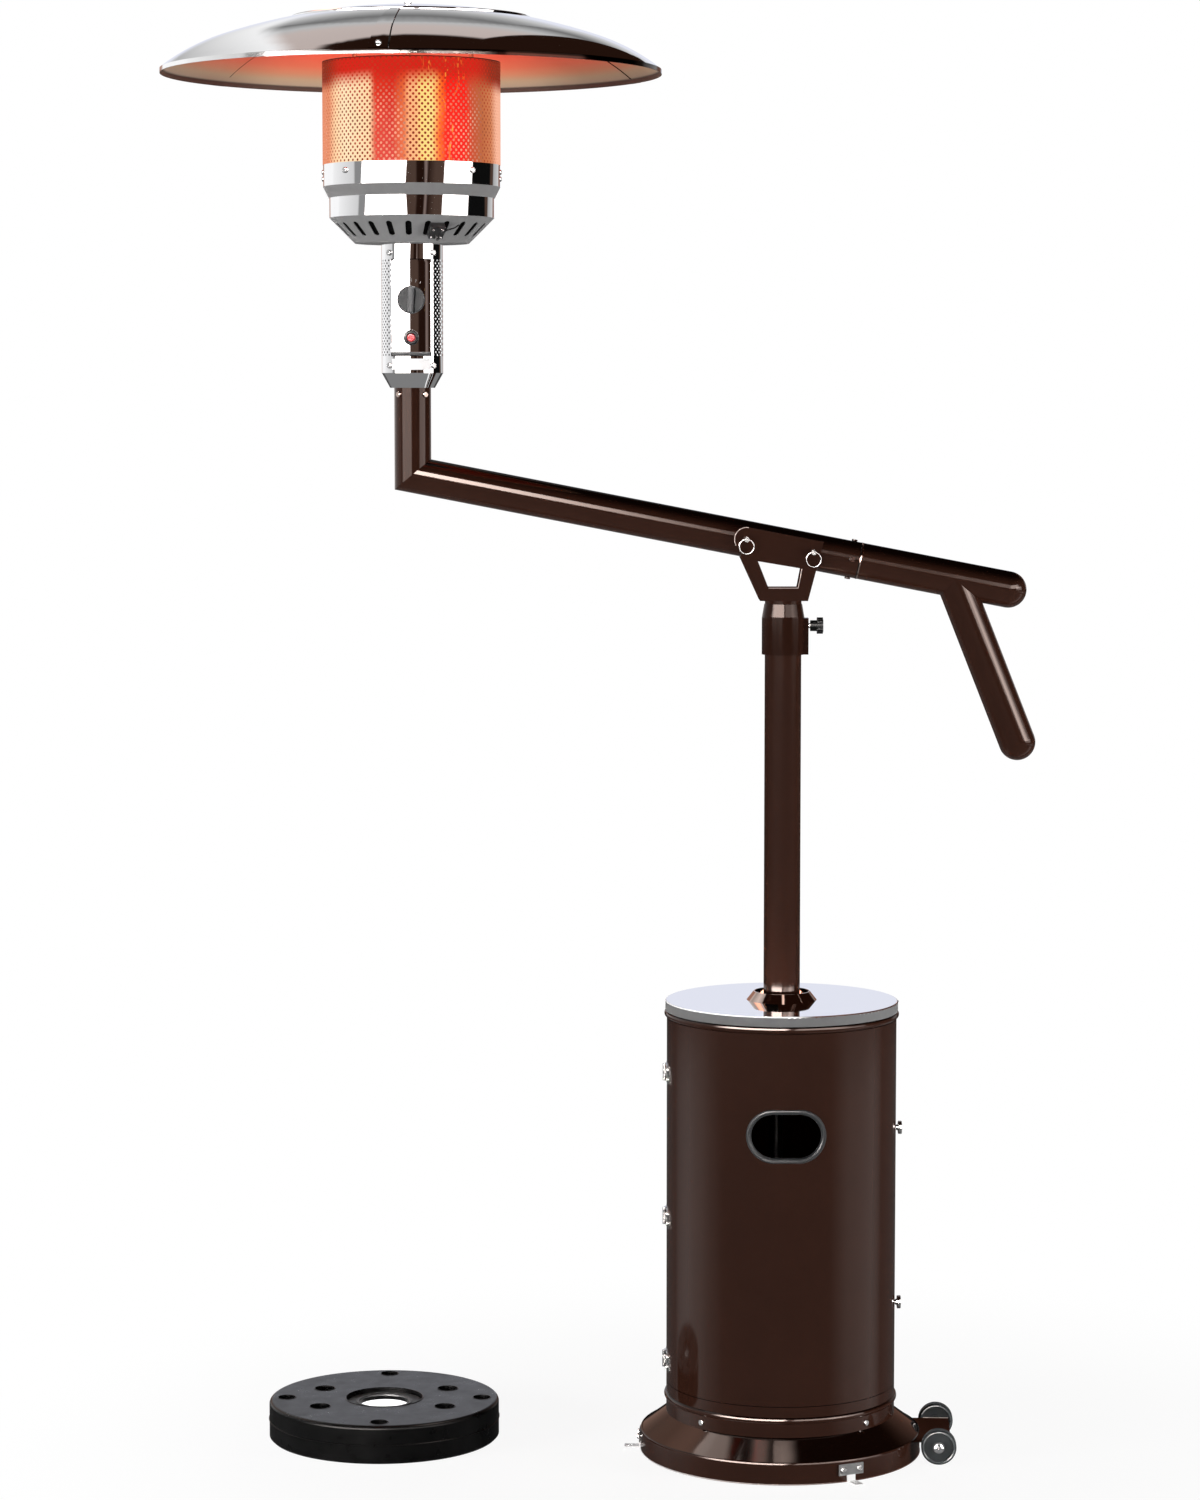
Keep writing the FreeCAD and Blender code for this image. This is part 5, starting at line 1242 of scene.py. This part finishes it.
class HEATER_OT_switch_rivets(HeaterOperator):
    """Rivet the tilt switch and bring its lead up to the cup"""

    bl_idname = "heater.switch_rivets"
    bl_label = "Switch rivets"

    def execute(self, context):
        centre = middle("tilt_switch")
        out = Vector((centre.x - HEAD.x, centre.y - HEAD.y, 0)).normalized()
        normal = (out - UP).normalized()
        along = UP.cross(out).normalized()
        up = normal.cross(along)
        mesh = bmesh.new()
        for across, rise in ((-8, -8), (8, -8), (-8, 8), (8, 8)):
            place = centre + normal * 5.6 * MM + along * across * MM + up * rise * MM
            lathe(mesh, in_mm((2.2, 0), (2.0, 0.8), (1.2, 1.5), (0, 1.8)), place, 16, normal)
        new_piece("switch_rivets", mesh, plated_steel(finish_of(context)), "arm")
        lead = bmesh.new()
        start = centre + along * 11 * MM + normal * 1 * MM
        points = [start, start + along * 8 * MM + UP * 4 * MM,
                  start + along * 18 * MM + UP * 7 * MM + out * 3 * MM,
                  start + along * 26 * MM + UP * 12 * MM + out * 4 * MM]
        tube_along(lead, points, 1.1 * MM, 10)
        new_piece("switch_lead", lead, black_and_painted_shade(), "arm")
        return {"FINISHED"}


class HEATER_OT_hub_sleeve(HeaterOperator):
    """Line the reservoir's hub with its pale sleeve, which glows as painted light"""

    bl_idname = "heater.hub_sleeve"
    bl_label = "Hub sleeve"

    def execute(self, context):
        centre = middle("ballast_reservoir")
        outer, inner, foot, top = 61 * MM, 59.5 * MM, 0.5 * MM, RESERVOIR_HIGH.z - 14.5 * MM
        mesh = bmesh.new()
        lathe(mesh, [(outer, foot), (outer, top), (inner, top), (inner, foot), (outer, foot)],
              Vector((centre.x, centre.y, 0)), sizes_of(context).round_steps)
        new_piece("hub_sleeve", mesh, pale_sleeve_with_painted_glow(), "ballast")
        return {"FINISHED"}


class HEATER_OT_hole_lips(HeaterOperator):
    """Roll a small lip round each hole of the reservoir, mark its seam and lay its washer"""

    bl_idname = "heater.hole_lips"
    bl_label = "Hole lips"

    def execute(self, context):
        centre = middle("ballast_reservoir")
        top = Vector((centre.x, centre.y, RESERVOIR_HIGH.z))
        mesh = bmesh.new()
        for radius, ring, azimuths in HOLE_RINGS:
            for azimuth in azimuths:
                angle = math.radians(azimuth)
                rolled_lip(mesh, top + ring * Vector((math.cos(angle), math.sin(angle), 0)), radius, 1.0, 40)
        rolled_lip(mesh, top, 64.5 * MM, 1.5, 96)
        half = (RESERVOIR_HIGH.x - RESERVOIR_LOW.x) / 2
        seam = in_mm((-0.2, -33), (0.5, -32.4), (0.5, -31.8), (-0.2, -31.2))
        lathe(mesh, [(half + out, up) for out, up in seam], top, 160)
        new_piece("reservoir_hole_lips", mesh, satin_reservoir(finish_of(context)), "ballast")
        washer = bmesh.new()
        profile = in_mm((63.5, -7.8), (63.5, -6.6), (48, -6.4), (47, -5.4), (43.5, -5.2), (42, -6.2), (41.6, -8))
        lathe(washer, profile, top, 96)
        shade = moulded_plastic("washer_moulding", tint(finish_of(context).plastic, 5.0), 0.3, 0.4, 700, 0.3)
        new_piece("reservoir_washer", washer, shade, "ballast")
        return {"FINISHED"}


class HEATER_OT_ring_beads(HeaterOperator):
    """Roll the round beads of the housing's two rings and the shoulder of the base's rim"""

    bl_idname = "heater.ring_beads"
    bl_label = "Ring beads"

    def execute(self, context):
        steps = 2 * sizes_of(context).round_steps
        mesh = bmesh.new()
        crown = ((12, 0.8), (15, 1.2), (18, 0.8), (40, 1.5), (60, 2.0), (75, 1.0))
        angles = [math.radians(-72 + 9.5 * step) for step in range(9)]
        for reach, height in BEADS:
            middle_r = SHELL_R + reach - 5.5 * MM
            lower = [(middle_r + BEAD_R * math.cos(a), height + BEAD_R * math.sin(a)) for a in angles]
            lathe(mesh, lower[:-1] + sloped_profile(lower[-1], crown), Vector(), steps)
        edge = sloped_profile((RIM_EDGE[0] + 0.3 * MM, RIM_EDGE[1] - 3.0 * MM),
                              ((0, 1.2), (9, 0.8), (14, 1.2), (18, 1.0), (34, 0.8), (50, 1.0), (58, 1.0)))
        lathe(mesh, edge, Vector(), steps)
        new_piece("ring_beads", mesh, gloss_paint_top_shading(finish_of(context)), "base")
        return {"FINISHED"}


class HEATER_OT_edge_beads(HeaterOperator):
    """Turn the thin edges of the cover, the base, the cheek plate and the wheel bracket, with painted highlights"""

    bl_idname = "heater.edge_beads"
    bl_label = "Edge beads"

    def execute(self, context):
        paint = finish_of(context).paint
        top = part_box("top_cover")[1].z - 0.6 * MM
        turns = [math.radians(-176 + 2 * step) for step in range(87)]
        cover = bmesh.new()
        rim = [Vector((COVER_R * math.cos(a), COVER_R * math.sin(a), top)) for a in turns]
        tube_along(cover, rim, 1.1 * MM, across=UP)
        # Painted highlight along the cover's edge: white from the left to the middle, then dark brown to the right
        stops = [(0, grey(0.7)), (0.1, WHITE), (0.52, WHITE), (0.58, grey(0.3)), (0.62, tint(paint, 2))]
        new_piece("cover_edge", cover, painted_highlight_edge("cover_edge", COVER_R, stops), "base")
        hem = bmesh.new()
        roll = in_mm((-0.4, 0.2), (0.4, 0.4), (0.8, 1.1), (0.4, 1.8), (-0.4, 2.0))
        lathe(hem, [(RIM_EDGE[0] + out, up) for out, up in roll], Vector(), 2 * sizes_of(context).round_steps)
        # Painted highlight along the base's hem, pale at the left and brown at the right
        stops = [(0, grey(0.5)), (0.3, (0.42, 0.36, 0.34, 1)), (0.55, (0.30, 0.24, 0.22, 1)),
                 (0.72, tint(paint, 2)), (1, tint(paint, 1.5))]
        new_piece("base_hem_highlight", hem, painted_highlight_edge("base_hem_highlight", RIM_EDGE[0], stops), "base")
        cheek = bmesh.new()
        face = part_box("cheek_front")[0].y + 0.3 * MM
        pin = Vector((LEFT_PIN[0], face, LEFT_PIN[1]))
        arc = [pin + 19.6 * MM * Vector((math.cos(a), 0, math.sin(a)))
               for a in (math.radians(80 + 5 * step) for step in range(27))]
        tube_along(cheek, arc, 0.65 * MM, across=BACK)
        sill = [Vector((x, face, z)) for x, z in WINDOW_SILL]
        tube_along(cheek, sill, 0.6 * MM, across=BACK)
        # Painted highlight along the cheek's end and window sill, lighter to the left
        stops = [(0, (0.50, 0.40, 0.36, 1)), (0.5, (0.42, 0.33, 0.30, 1)), (1, (0.36, 0.28, 0.25, 1))]
        new_piece("cheek_edge_highlight", cheek, painted_highlight_edge("cheek_edge_highlight", 0.08, stops), "arm")
        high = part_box("wheel_bracket")[1]
        bracket = bmesh.new()
        edge = [Vector((high.x - share * 42 * MM, high.y - 1.5 * MM + share * 2.2 * MM, high.z))
                for share in (0, 0.5, 1)]
        tube_along(bracket, edge, 0.6 * MM, across=UP)
        # Painted highlight along the bracket's top edge
        stops = [(0, (0.42, 0.34, 0.31, 1))]
        new_piece("bracket_edge_highlight", bracket, painted_highlight_edge("bracket_edge_highlight", 0.3, stops), "base")
        return {"FINISHED"}


class HEATER_OT_tail_joint(HeaterOperator):
    """Finish the joint between the arm and its tail"""

    bl_idname = "heater.tail_joint"
    bl_label = "Tail joint"

    def execute(self, context):
        mesh = bmesh.new()
        edge = in_mm((29.9, -0.2), (30.4, 0.1), (30.6, 0.7), (30.5, 1.6), (29.9, 2.2))
        lathe(mesh, edge, TAIL_JOINT, 64, ARM_WAY)
        new_piece("tail_joint_edge", mesh, polished_bronze(finish_of(context)), "arm")
        gap = bmesh.new()
        lathe(gap, in_mm((30.12, -1.5), (30.12, -0.2)), TAIL_JOINT, 64, ARM_WAY)
        new_piece("tail_joint_gap", gap, black_and_painted_shade(), "arm")
        return {"FINISHED"}


class HEATER_OT_wheel_rims(HeaterOperator):
    """Raise a rim on both sides of each wheel"""

    bl_idname = "heater.wheel_rims"
    bl_label = "Wheel rims"

    def execute(self, context):
        rubber = moulded_plastic("rim_rubber", tint(finish_of(context).rubber, 4.0), 0.2, 0.3, RUBBER_GRAIN, 0.6)
        for wheel in ("wheel_front", "wheel_rear"):
            mesh = bmesh.new()
            for side in (-1, 1):
                lathe(mesh, WHEEL_RIM, middle(wheel) + AXLE_WAY * side * WHEEL_HALF, 72, AXLE_WAY * side)
            new_piece(wheel + "_rims", mesh, rubber, wheel)
        return {"FINISHED"}


class HEATER_OT_axle_nuts(HeaterOperator):
    """Put washers and hexagon nuts on the axle's ends"""

    bl_idname = "heater.axle_nuts"
    bl_label = "Axle nuts"

    def execute(self, context):
        nuts, washers = bmesh.new(), bmesh.new()
        for wheel, side in (("wheel_front", -1), ("wheel_rear", 1)):
            centre, out = middle(wheel), AXLE_WAY * side
            lathe(nuts, in_mm((3, 3.4), (5.6, 3.4), (7.2, 2.6), (7.2, 0)), centre + out * 9.4 * MM, 6, out)
            lathe(washers, in_mm((4, 1.2), (8.6, 1.2), (9.2, 0.6), (9.2, 0)), centre + out * 9.2 * MM, 40, out)
        new_piece("axle_nuts", nuts, mirror_chrome(finish_of(context)), "base")
        new_piece("axle_washers", washers, anchor_steel(), "base")
        return {"FINISHED"}


class HEATER_OT_cup_screws(HeaterOperator):
    """Drive the pairs of screws in the cup's two sides"""

    bl_idname = "heater.cup_screws"
    bl_label = "Cup screws"

    def execute(self, context):
        radius = (BAND_HIGH.x - BAND_LOW.x) / 2
        mesh = bmesh.new()
        for side in (-1, 1):
            for drop in (11 * MM, 22 * MM):
                place = Vector((HEAD.x + side * (radius - 1.5 * MM), HEAD.y, BAND_HIGH.z - drop))
                lathe(mesh, DOME_HEAD, place, 24, Vector((side, 0, 0)))
        new_piece("cup_side_screws", mesh, plated_steel(finish_of(context)), "arm")
        return {"FINISHED"}


class HEATER_OT_igniter_bezel(HeaterOperator):
    """Turn the domed bezel round the igniter button"""

    bl_idname = "heater.igniter_bezel"
    bl_label = "Igniter bezel"

    def execute(self, context):
        button = middle("igniter_button")
        profile = in_mm((12.6, 0.2), (12.5, 1.4), (11.6, 2.7), (10.2, 3.5), (8.6, 3.8), (7.3, 3.4), (7.0, 1.0))
        mesh = bmesh.new()
        lathe(mesh, profile, Vector((button.x, PANEL_LOW.y, button.z)), 48, FRONT)
        bezel = moulded_plastic("bezel_moulding", finish_of(context).plastic, 0.3, 0.42, FINE_GRAIN, 0.16)
        new_piece("igniter_bezel", mesh, bezel, "arm")
        return {"FINISHED"}


class HEATER_OT_set_stage(HeaterOperator):
    """Lay the floor, hang the lights and place the camera"""

    bl_idname = "heater.set_stage"
    bl_label = "Stage"

    def execute(self, context):
        stage = context.scene.heater_stage
        lay_floor(stage)
        hang_lights(stage)
        hang_flag()
        light_world(stage)
        place_camera(stage)
        context.scene.view_settings.view_transform = "Standard"
        return {"FINISHED"}


# Stage


def level_disc(name, segments, radius, place, material):
    """A level round sheet."""
    mesh = bmesh.new()
    bmesh.ops.create_circle(mesh, cap_ends=True, segments=segments, radius=radius)
    data = bpy.data.meshes.new(name)
    mesh.to_mesh(data)
    mesh.free()
    data.materials.append(material)
    disc = bpy.data.objects.new(name, data)
    disc.location = place
    bpy.context.scene.collection.objects.link(disc)
    return disc


def lay_floor(stage):
    """The floor, a hair under the object."""
    floor = level_disc("studio_floor", 96, stage.floor_reach, (0, 0, -0.2 * MM), pale_floor())


def pale_floor():
    """Pale floor that keeps the shadow near the object and runs into the white background."""
    material, tree, shader = new_material("pale_floor")
    rays = add(tree, "ShaderNodeLightPath").outputs
    place = local_place(tree)
    away = add(tree, "ShaderNodeVectorMath", {0: place}, operation="LENGTH").outputs["Value"]
    dress(tree, shader, Base_Color=grey(0.85), Roughness=0.9, Specular_IOR_Level=0.0, Emission_Color=WHITE,
          Emission_Strength=0.30)
    white = add(tree, "ShaderNodeEmission", {"Color": WHITE, "Strength": 1.0})
    clear = add(tree, "ShaderNodeBsdfTransparent")
    share = times(tree, rays["Is Camera Ray"], span(tree, away, 0.5, 1.4, 0.88, 1.0, soft=True))
    seen = add(tree, "ShaderNodeMixShader", {0: share, 1: shader.outputs[0], 2: white.outputs[0]})
    mirrored = add(tree, "ShaderNodeMixShader", {0: rays["Is Glossy Ray"], 1: seen.outputs[0], 2: clear.outputs[0]})
    tree.links.new(mirrored.outputs[0], tree.nodes["Material Output"].inputs[0])
    return material


CARD_COLOUR = (1.0, 0.84, 0.77)


def softbox(name, place, target, width, height, power, card=0.0):
    """An area light: a softbox that lights surfaces, or a card that shows in polish only, with this share soft."""
    data = bpy.data.lights.new(name, "AREA")
    data.shape, data.size, data.size_y, data.energy = "RECTANGLE", width, height, power
    if card:
        data.color = CARD_COLOUR
        data.use_nodes = True
        tree = data.node_tree
        across = split(tree, add(tree, "ShaderNodeNewGeometry").outputs["Parametric"])["X"]
        feed(tree, tree.nodes["Emission"].inputs["Strength"], window(tree, across, card, 1 - card, card))
    lamp = bpy.data.objects.new(name, data)
    lamp.location = place
    lamp.rotation_euler = (Vector(target) - Vector(place)).to_track_quat("-Z", "Y").to_euler()
    lamp.visible_camera = False
    lamp.visible_glossy, lamp.visible_diffuse = card > 0, card == 0
    bpy.context.scene.collection.objects.link(lamp)


SOFTBOX = 1.6
# Name, place, target and share of the power
SOFTBOXES = (
    ("left_softbox", (-4.2, -2.2, 0.8), (-0.2, 0, 0.8), 1.0),
    ("right_softbox", (4.0, -1.6, 0.8), (0, 0, 0.8), 1.0),
    ("back_softbox", (0.6, 4.4, 0.8), (0, 0, 0.8), 0.6),
)
# Name, x, y, z, width, depth, power and soft share
POLISH_CARDS = (
    ("base_card_left", -0.355, -0.073, 0.5, 0.23, 0.24, 0.95, 0.09),
    ("base_card_middle", -0.105, -0.21, 0.5, 0.13, 0.14, 0.20, 0.22),
    ("base_card_right", -0.012, -0.22, 0.5, 0.20, 0.14, 0.54, 0.18),
    ("flange_card", 0.012, -0.16, 0.98, 0.04, 0.10, 0.020, 0.2),
)


def hang_lights(stage):
    """A softbox at each side, a weaker one behind, and the cards that show in polish."""
    for name, place, target, share in SOFTBOXES:
        softbox(name, place, target, SOFTBOX, SOFTBOX, share * stage.key_power)
    for name, x, y, z, wide, deep, power, soft in POLISH_CARDS:
        softbox(name, (x, y, z), (x, y, 0), wide, deep, power * stage.card_power, soft)


FLAG_R, FLAG_PLACE = 0.065, (-0.085, -0.03, 0.98)


def hang_flag():
    """A dark flag that keeps the head's glow out of the flange's polish."""
    flag = level_disc("flange_flag", 48, FLAG_R, FLAG_PLACE, black_and_painted_shade())
    flag.visible_camera = flag.visible_diffuse = flag.visible_shadow = flag.visible_transmission = False


WHITE, LAVENDER, PALE, SOFT, DARK = grey(1.0), (0.78, 0.80, 0.90, 1), grey(0.66), grey(0.26), grey(0.004)
KEY, FILL = (6.0, 5.6, 5.4, 1), (4.4, 4.1, 4.0, 1)
BROWN, DEEP_BROWN, STREAK = (0.075, 0.045, 0.034, 1), (0.016, 0.0062, 0.0038, 1), (0.22, 0.16, 0.14, 1)
# Degrees round from the front, and what mirrors see there
ROUND_STRIPES = (
    (-180, LAVENDER), (-166, LAVENDER), (-160, WHITE), (-122, WHITE), (-119, grey(0.92)), (-78, PALE), (-76, SOFT),
    (-66, SOFT), (-64, KEY), (-6, KEY), (-5, BROWN), (8, BROWN), (9, DEEP_BROWN), (19, DEEP_BROWN), (20, STREAK),
    (22, STREAK), (23, DEEP_BROWN), (34, BROWN), (45, BROWN), (47, FILL), (86, FILL), (88, DARK), (125, DARK),
    (128, BROWN), (134, BROWN), (137, grey(0.42)), (160, grey(0.7)), (166, LAVENDER), (180, LAVENDER),
)
LOW_ROUND = (
    (-180, grey(0.05)), (-135, grey(0.12)), (-108, grey(1.0)), (-90, grey(1.0)), (-62, grey(0.24)), (0, grey(0.22)),
    (4, grey(0.20)), (48, grey(0.20)), (68, grey(1.0)), (100, grey(1.0)), (118, grey(0.12)), (180, grey(0.05)),
)
FOOT_ROUND = (
    (-180, grey(0.05)), (-110, grey(0.12)), (-90, grey(0.32)), (-40, grey(0.24)), (40, grey(0.20)), (70, grey(0.05)),
    (180, grey(0.02)),
)
POLE_ROUND = (
    (-180, DARK), (-110, grey(0.06)), (-80, grey(0.22)), (-40, grey(0.40)), (0, grey(0.28)), (60, grey(0.22)),
    (90, grey(0.10)), (180, DARK),
)
COLLAR_ROUND = (
    (-180, DARK), (-130, grey(0.2)), (-105, grey(0.3)), (-84, grey(0.04)), (-64, grey(0.04)), (-50, grey(0.7)),
    (-12, grey(0.9)), (0, grey(0.3)), (16, DARK), (48, DARK), (60, grey(0.6)), (80, grey(0.6)), (92, DARK),
    (180, DARK),
)
FLOOR_ROUND = (
    (-180, grey(0.213)), (84, grey(0.213)), (85.5, WHITE), (105, WHITE), (106.5, DEEP_BROWN), (118, DEEP_BROWN),
    (120, grey(0.213)), (180, grey(0.213)),
)
# How far down a band begins and is full, and what it shows
LOW_BANDS = (
    (-0.062, -0.066, POLE_ROUND), (-0.15, -0.165, LOW_ROUND), (-0.252, -0.262, FOOT_ROUND),
    (-0.30, -0.34, FLOOR_ROUND),
)
# What mirrors see above, from the front to the back, and at the left
OVERHEAD = (
    (0.0, (0.50, 0.42, 0.39, 1)), (0.22, (0.55, 0.47, 0.44, 1)), (0.28, grey(0.50)), (0.34, grey(0.30)),
    (0.39, grey(0.17)), (0.44, grey(0.30)), (0.55, grey(0.55)), (0.8, LAVENDER), (1, LAVENDER),
)
OVER_LEFT = ((0.0, WHITE), (0.25, grey(0.45)), (0.38, WHITE), (0.55, grey(0.5)), (0.7, WHITE), (1, WHITE))


def ceiling(tree, x, y, z):
    """What mirrors see above: a pale sky with a dark flag overhead."""
    height = math_node(tree, "MAXIMUM", z, 0.05)
    side, depth = math_node(tree, "DIVIDE", x, height), math_node(tree, "DIVIDE", y, height)
    sky = ramp(tree, span(tree, depth, 0.0, 5.0), OVERHEAD)
    left = ramp(tree, span(tree, side, -0.36, -2.2), OVER_LEFT)
    sky = blend(tree, span(tree, side, -0.34, -0.44, soft=True), sky, left)
    left_lean = times(tree, math_node(tree, "MINIMUM", math_node(tree, "ADD", side, 0.05), 0.0), 0.83)
    right_lean = times(tree, math_node(tree, "MAXIMUM", math_node(tree, "SUBTRACT", side, 0.15), 0.0), 6.0)
    reach = math_node(tree, "SUBTRACT", math_node(tree, "SUBTRACT", depth, left_lean), right_lean)
    return blend(tree, span(tree, reach, 0.77, 0.68, soft=True), sky, DEEP_BROWN)


# What the ends of the base's cone see behind, by height, and between which bearings
SKIRT_LEFT = ((0.3, (0.45, 0.27, 0.21, 1)), (0.55, (1.05, 0.6, 0.45, 1)), (0.72, (2.2, 1.3, 1.0, 1)))
SKIRT_RIGHT = ((0.35, (0.25, 0.13, 0.095, 1)), (0.55, DEEP_BROWN))
SKIRT_LOW, SKIRT_HIGH, SKIRT_LEAN = 160, 173.5, 45.0
ARM_STRIP = (66.0, 61.0, 58.5, 1)


def skirt_ends(tree, x, z, heading):
    """Where both ends of the base's cone look, behind the object, and the colours that they see there."""
    bearing = times(tree, math_node(tree, "ABSOLUTE", heading), math.degrees(1))
    leaned = math_node(tree, "ADD", bearing, times(tree, z, SKIRT_LEAN))
    share = times(tree, window(tree, leaned, SKIRT_LOW, SKIRT_HIGH, 2), span(tree, z, 0.82, 0.77))
    return share, blend(tree, span(tree, x, -0.01, 0.01), ramp(tree, z, SKIRT_LEFT), ramp(tree, z, SKIRT_RIGHT))


def arm_strip(tree, x, z, front):
    """Where the strip light stands that the arm mirrors."""
    along = math_node(tree, "SUBTRACT", times(tree, x, ARM_WAY.x), times(tree, z, -ARM_WAY.z))
    fade = math_node(tree, "POWER", span(tree, along, 0.06, -0.045), 2.0)
    fade = math_node(tree, "MAXIMUM", fade, span(tree, along, 0.10, 0.14, 0.02, 0.2))
    strip = times(tree, window(tree, z, 0.125, 0.46, 0.015), span(tree, front, 0.25, 0.6, soft=True))
    return times(tree, strip, fade)


def light_world(stage):
    """White for the camera; for mirrors a studio of light panels and dark flags; an even level for the rest."""
    world = bpy.data.worlds.new("studio")
    bpy.context.scene.world = world
    world.use_nodes = True
    tree = world.node_tree
    back = tree.nodes["Background"]
    x, y, z = split(tree, add(tree, "ShaderNodeTexCoord").outputs["Generated"])
    front = times(tree, y, -1.0)
    heading = math_node(tree, "ARCTAN2", x, front)
    turn = span(tree, heading, -math.pi, math.pi)
    stripes = round_ramp(tree, turn, ROUND_STRIPES)
    raised = times(tree, span(tree, z, 0.09, 0.14), span(tree, front, 0.1, 0.3))
    mirrored = blend(tree, raised, stripes, blend(tree, 1.0, stripes, grey(2.6), "MULTIPLY"))
    mirrored = blend(tree, span(tree, z, 0.16, 0.32, soft=True), mirrored, ceiling(tree, x, y, z))
    skirt, ends = skirt_ends(tree, x, z, heading)
    mirrored = blend(tree, skirt, mirrored, ends)
    mirrored = blend(tree, arm_strip(tree, x, z, front), mirrored, ARM_STRIP)
    low = round_ramp(tree, turn, COLLAR_ROUND)
    for start, end, table in LOW_BANDS:
        low = blend(tree, span(tree, z, start, end), low, round_ramp(tree, turn, table))
    mirrored = blend(tree, span(tree, z, -0.028, -0.042), mirrored, low)
    rays = add(tree, "ShaderNodeLightPath").outputs
    level = blend(tree, span(tree, z, 0.05, 0.4), grey(1.2 * stage.ambient), grey(0.0))
    lit = blend(tree, rays["Is Glossy Ray"], level, mirrored)
    seen = math_node(tree, "MAXIMUM", rays["Is Camera Ray"], rays["Is Transmission Ray"])
    feed(tree, back.inputs["Color"], blend(tree, seen, lit, WHITE))
    back.inputs["Strength"].default_value = 1.0


def place_camera(stage):
    """The camera of the photograph."""
    data = bpy.data.cameras.new("photo_camera")
    data.lens, data.sensor_width, data.sensor_fit, data.clip_end = stage.lens, 36.0, "AUTO", 100.0
    camera = bpy.data.objects.new("photo_camera", data)
    camera.location = stage.camera_place
    camera.rotation_euler = (math.pi / 2 - stage.camera_pitch, 0, 0)
    bpy.context.scene.collection.objects.link(camera)
    bpy.context.scene.camera = camera


class HEATER_PT_panel(bpy.types.Panel):
    """The heater's steps, in order"""

    bl_idname = "HEATER_PT_panel"
    bl_label = "Cantilever heater"
    bl_space_type = "VIEW_3D"
    bl_region_type = "UI"
    bl_category = "Heater"

    def draw(self, context):
        for step in STEPS:
            self.layout.operator(step.bl_idname)


STEPS = (
    HEATER_OT_paint_steelwork, HEATER_OT_plate_hardware, HEATER_OT_polish_head, HEATER_OT_mould_plastics,
    HEATER_OT_emitter_screen, HEATER_OT_reflector_trim, HEATER_OT_cup_screws, HEATER_OT_control_guard,
    HEATER_OT_control_panel, HEATER_OT_control_knob, HEATER_OT_dial_marks, HEATER_OT_label_plate,
    HEATER_OT_igniter_bezel, HEATER_OT_switch_rivets, HEATER_OT_door_grommet, HEATER_OT_ring_beads,
    HEATER_OT_edge_beads, HEATER_OT_tail_joint, HEATER_OT_wheel_rims, HEATER_OT_axle_nuts,
    HEATER_OT_hub_sleeve, HEATER_OT_hole_lips, HEATER_OT_set_stage,
)
GROUPS = {"heater_finish": HeaterFinish, "heater_sizes": HeaterSizes, "heater_stage": HeaterStage}


def register():
    for name, group in GROUPS.items():
        bpy.utils.register_class(group)
        setattr(bpy.types.Scene, name, PointerProperty(type=group))
    for step in (*STEPS, HEATER_PT_panel):
        bpy.utils.register_class(step)


def unregister():
    for step in reversed((*STEPS, HEATER_PT_panel)):
        bpy.utils.unregister_class(step)
    for name, group in reversed(GROUPS.items()):
        delattr(bpy.types.Scene, name)
        bpy.utils.unregister_class(group)


def main():
    register()
    for step in STEPS:
        area, name = step.bl_idname.split(".")
        getattr(getattr(bpy.ops, area), name)()


if __name__ == "__main__":
    main()
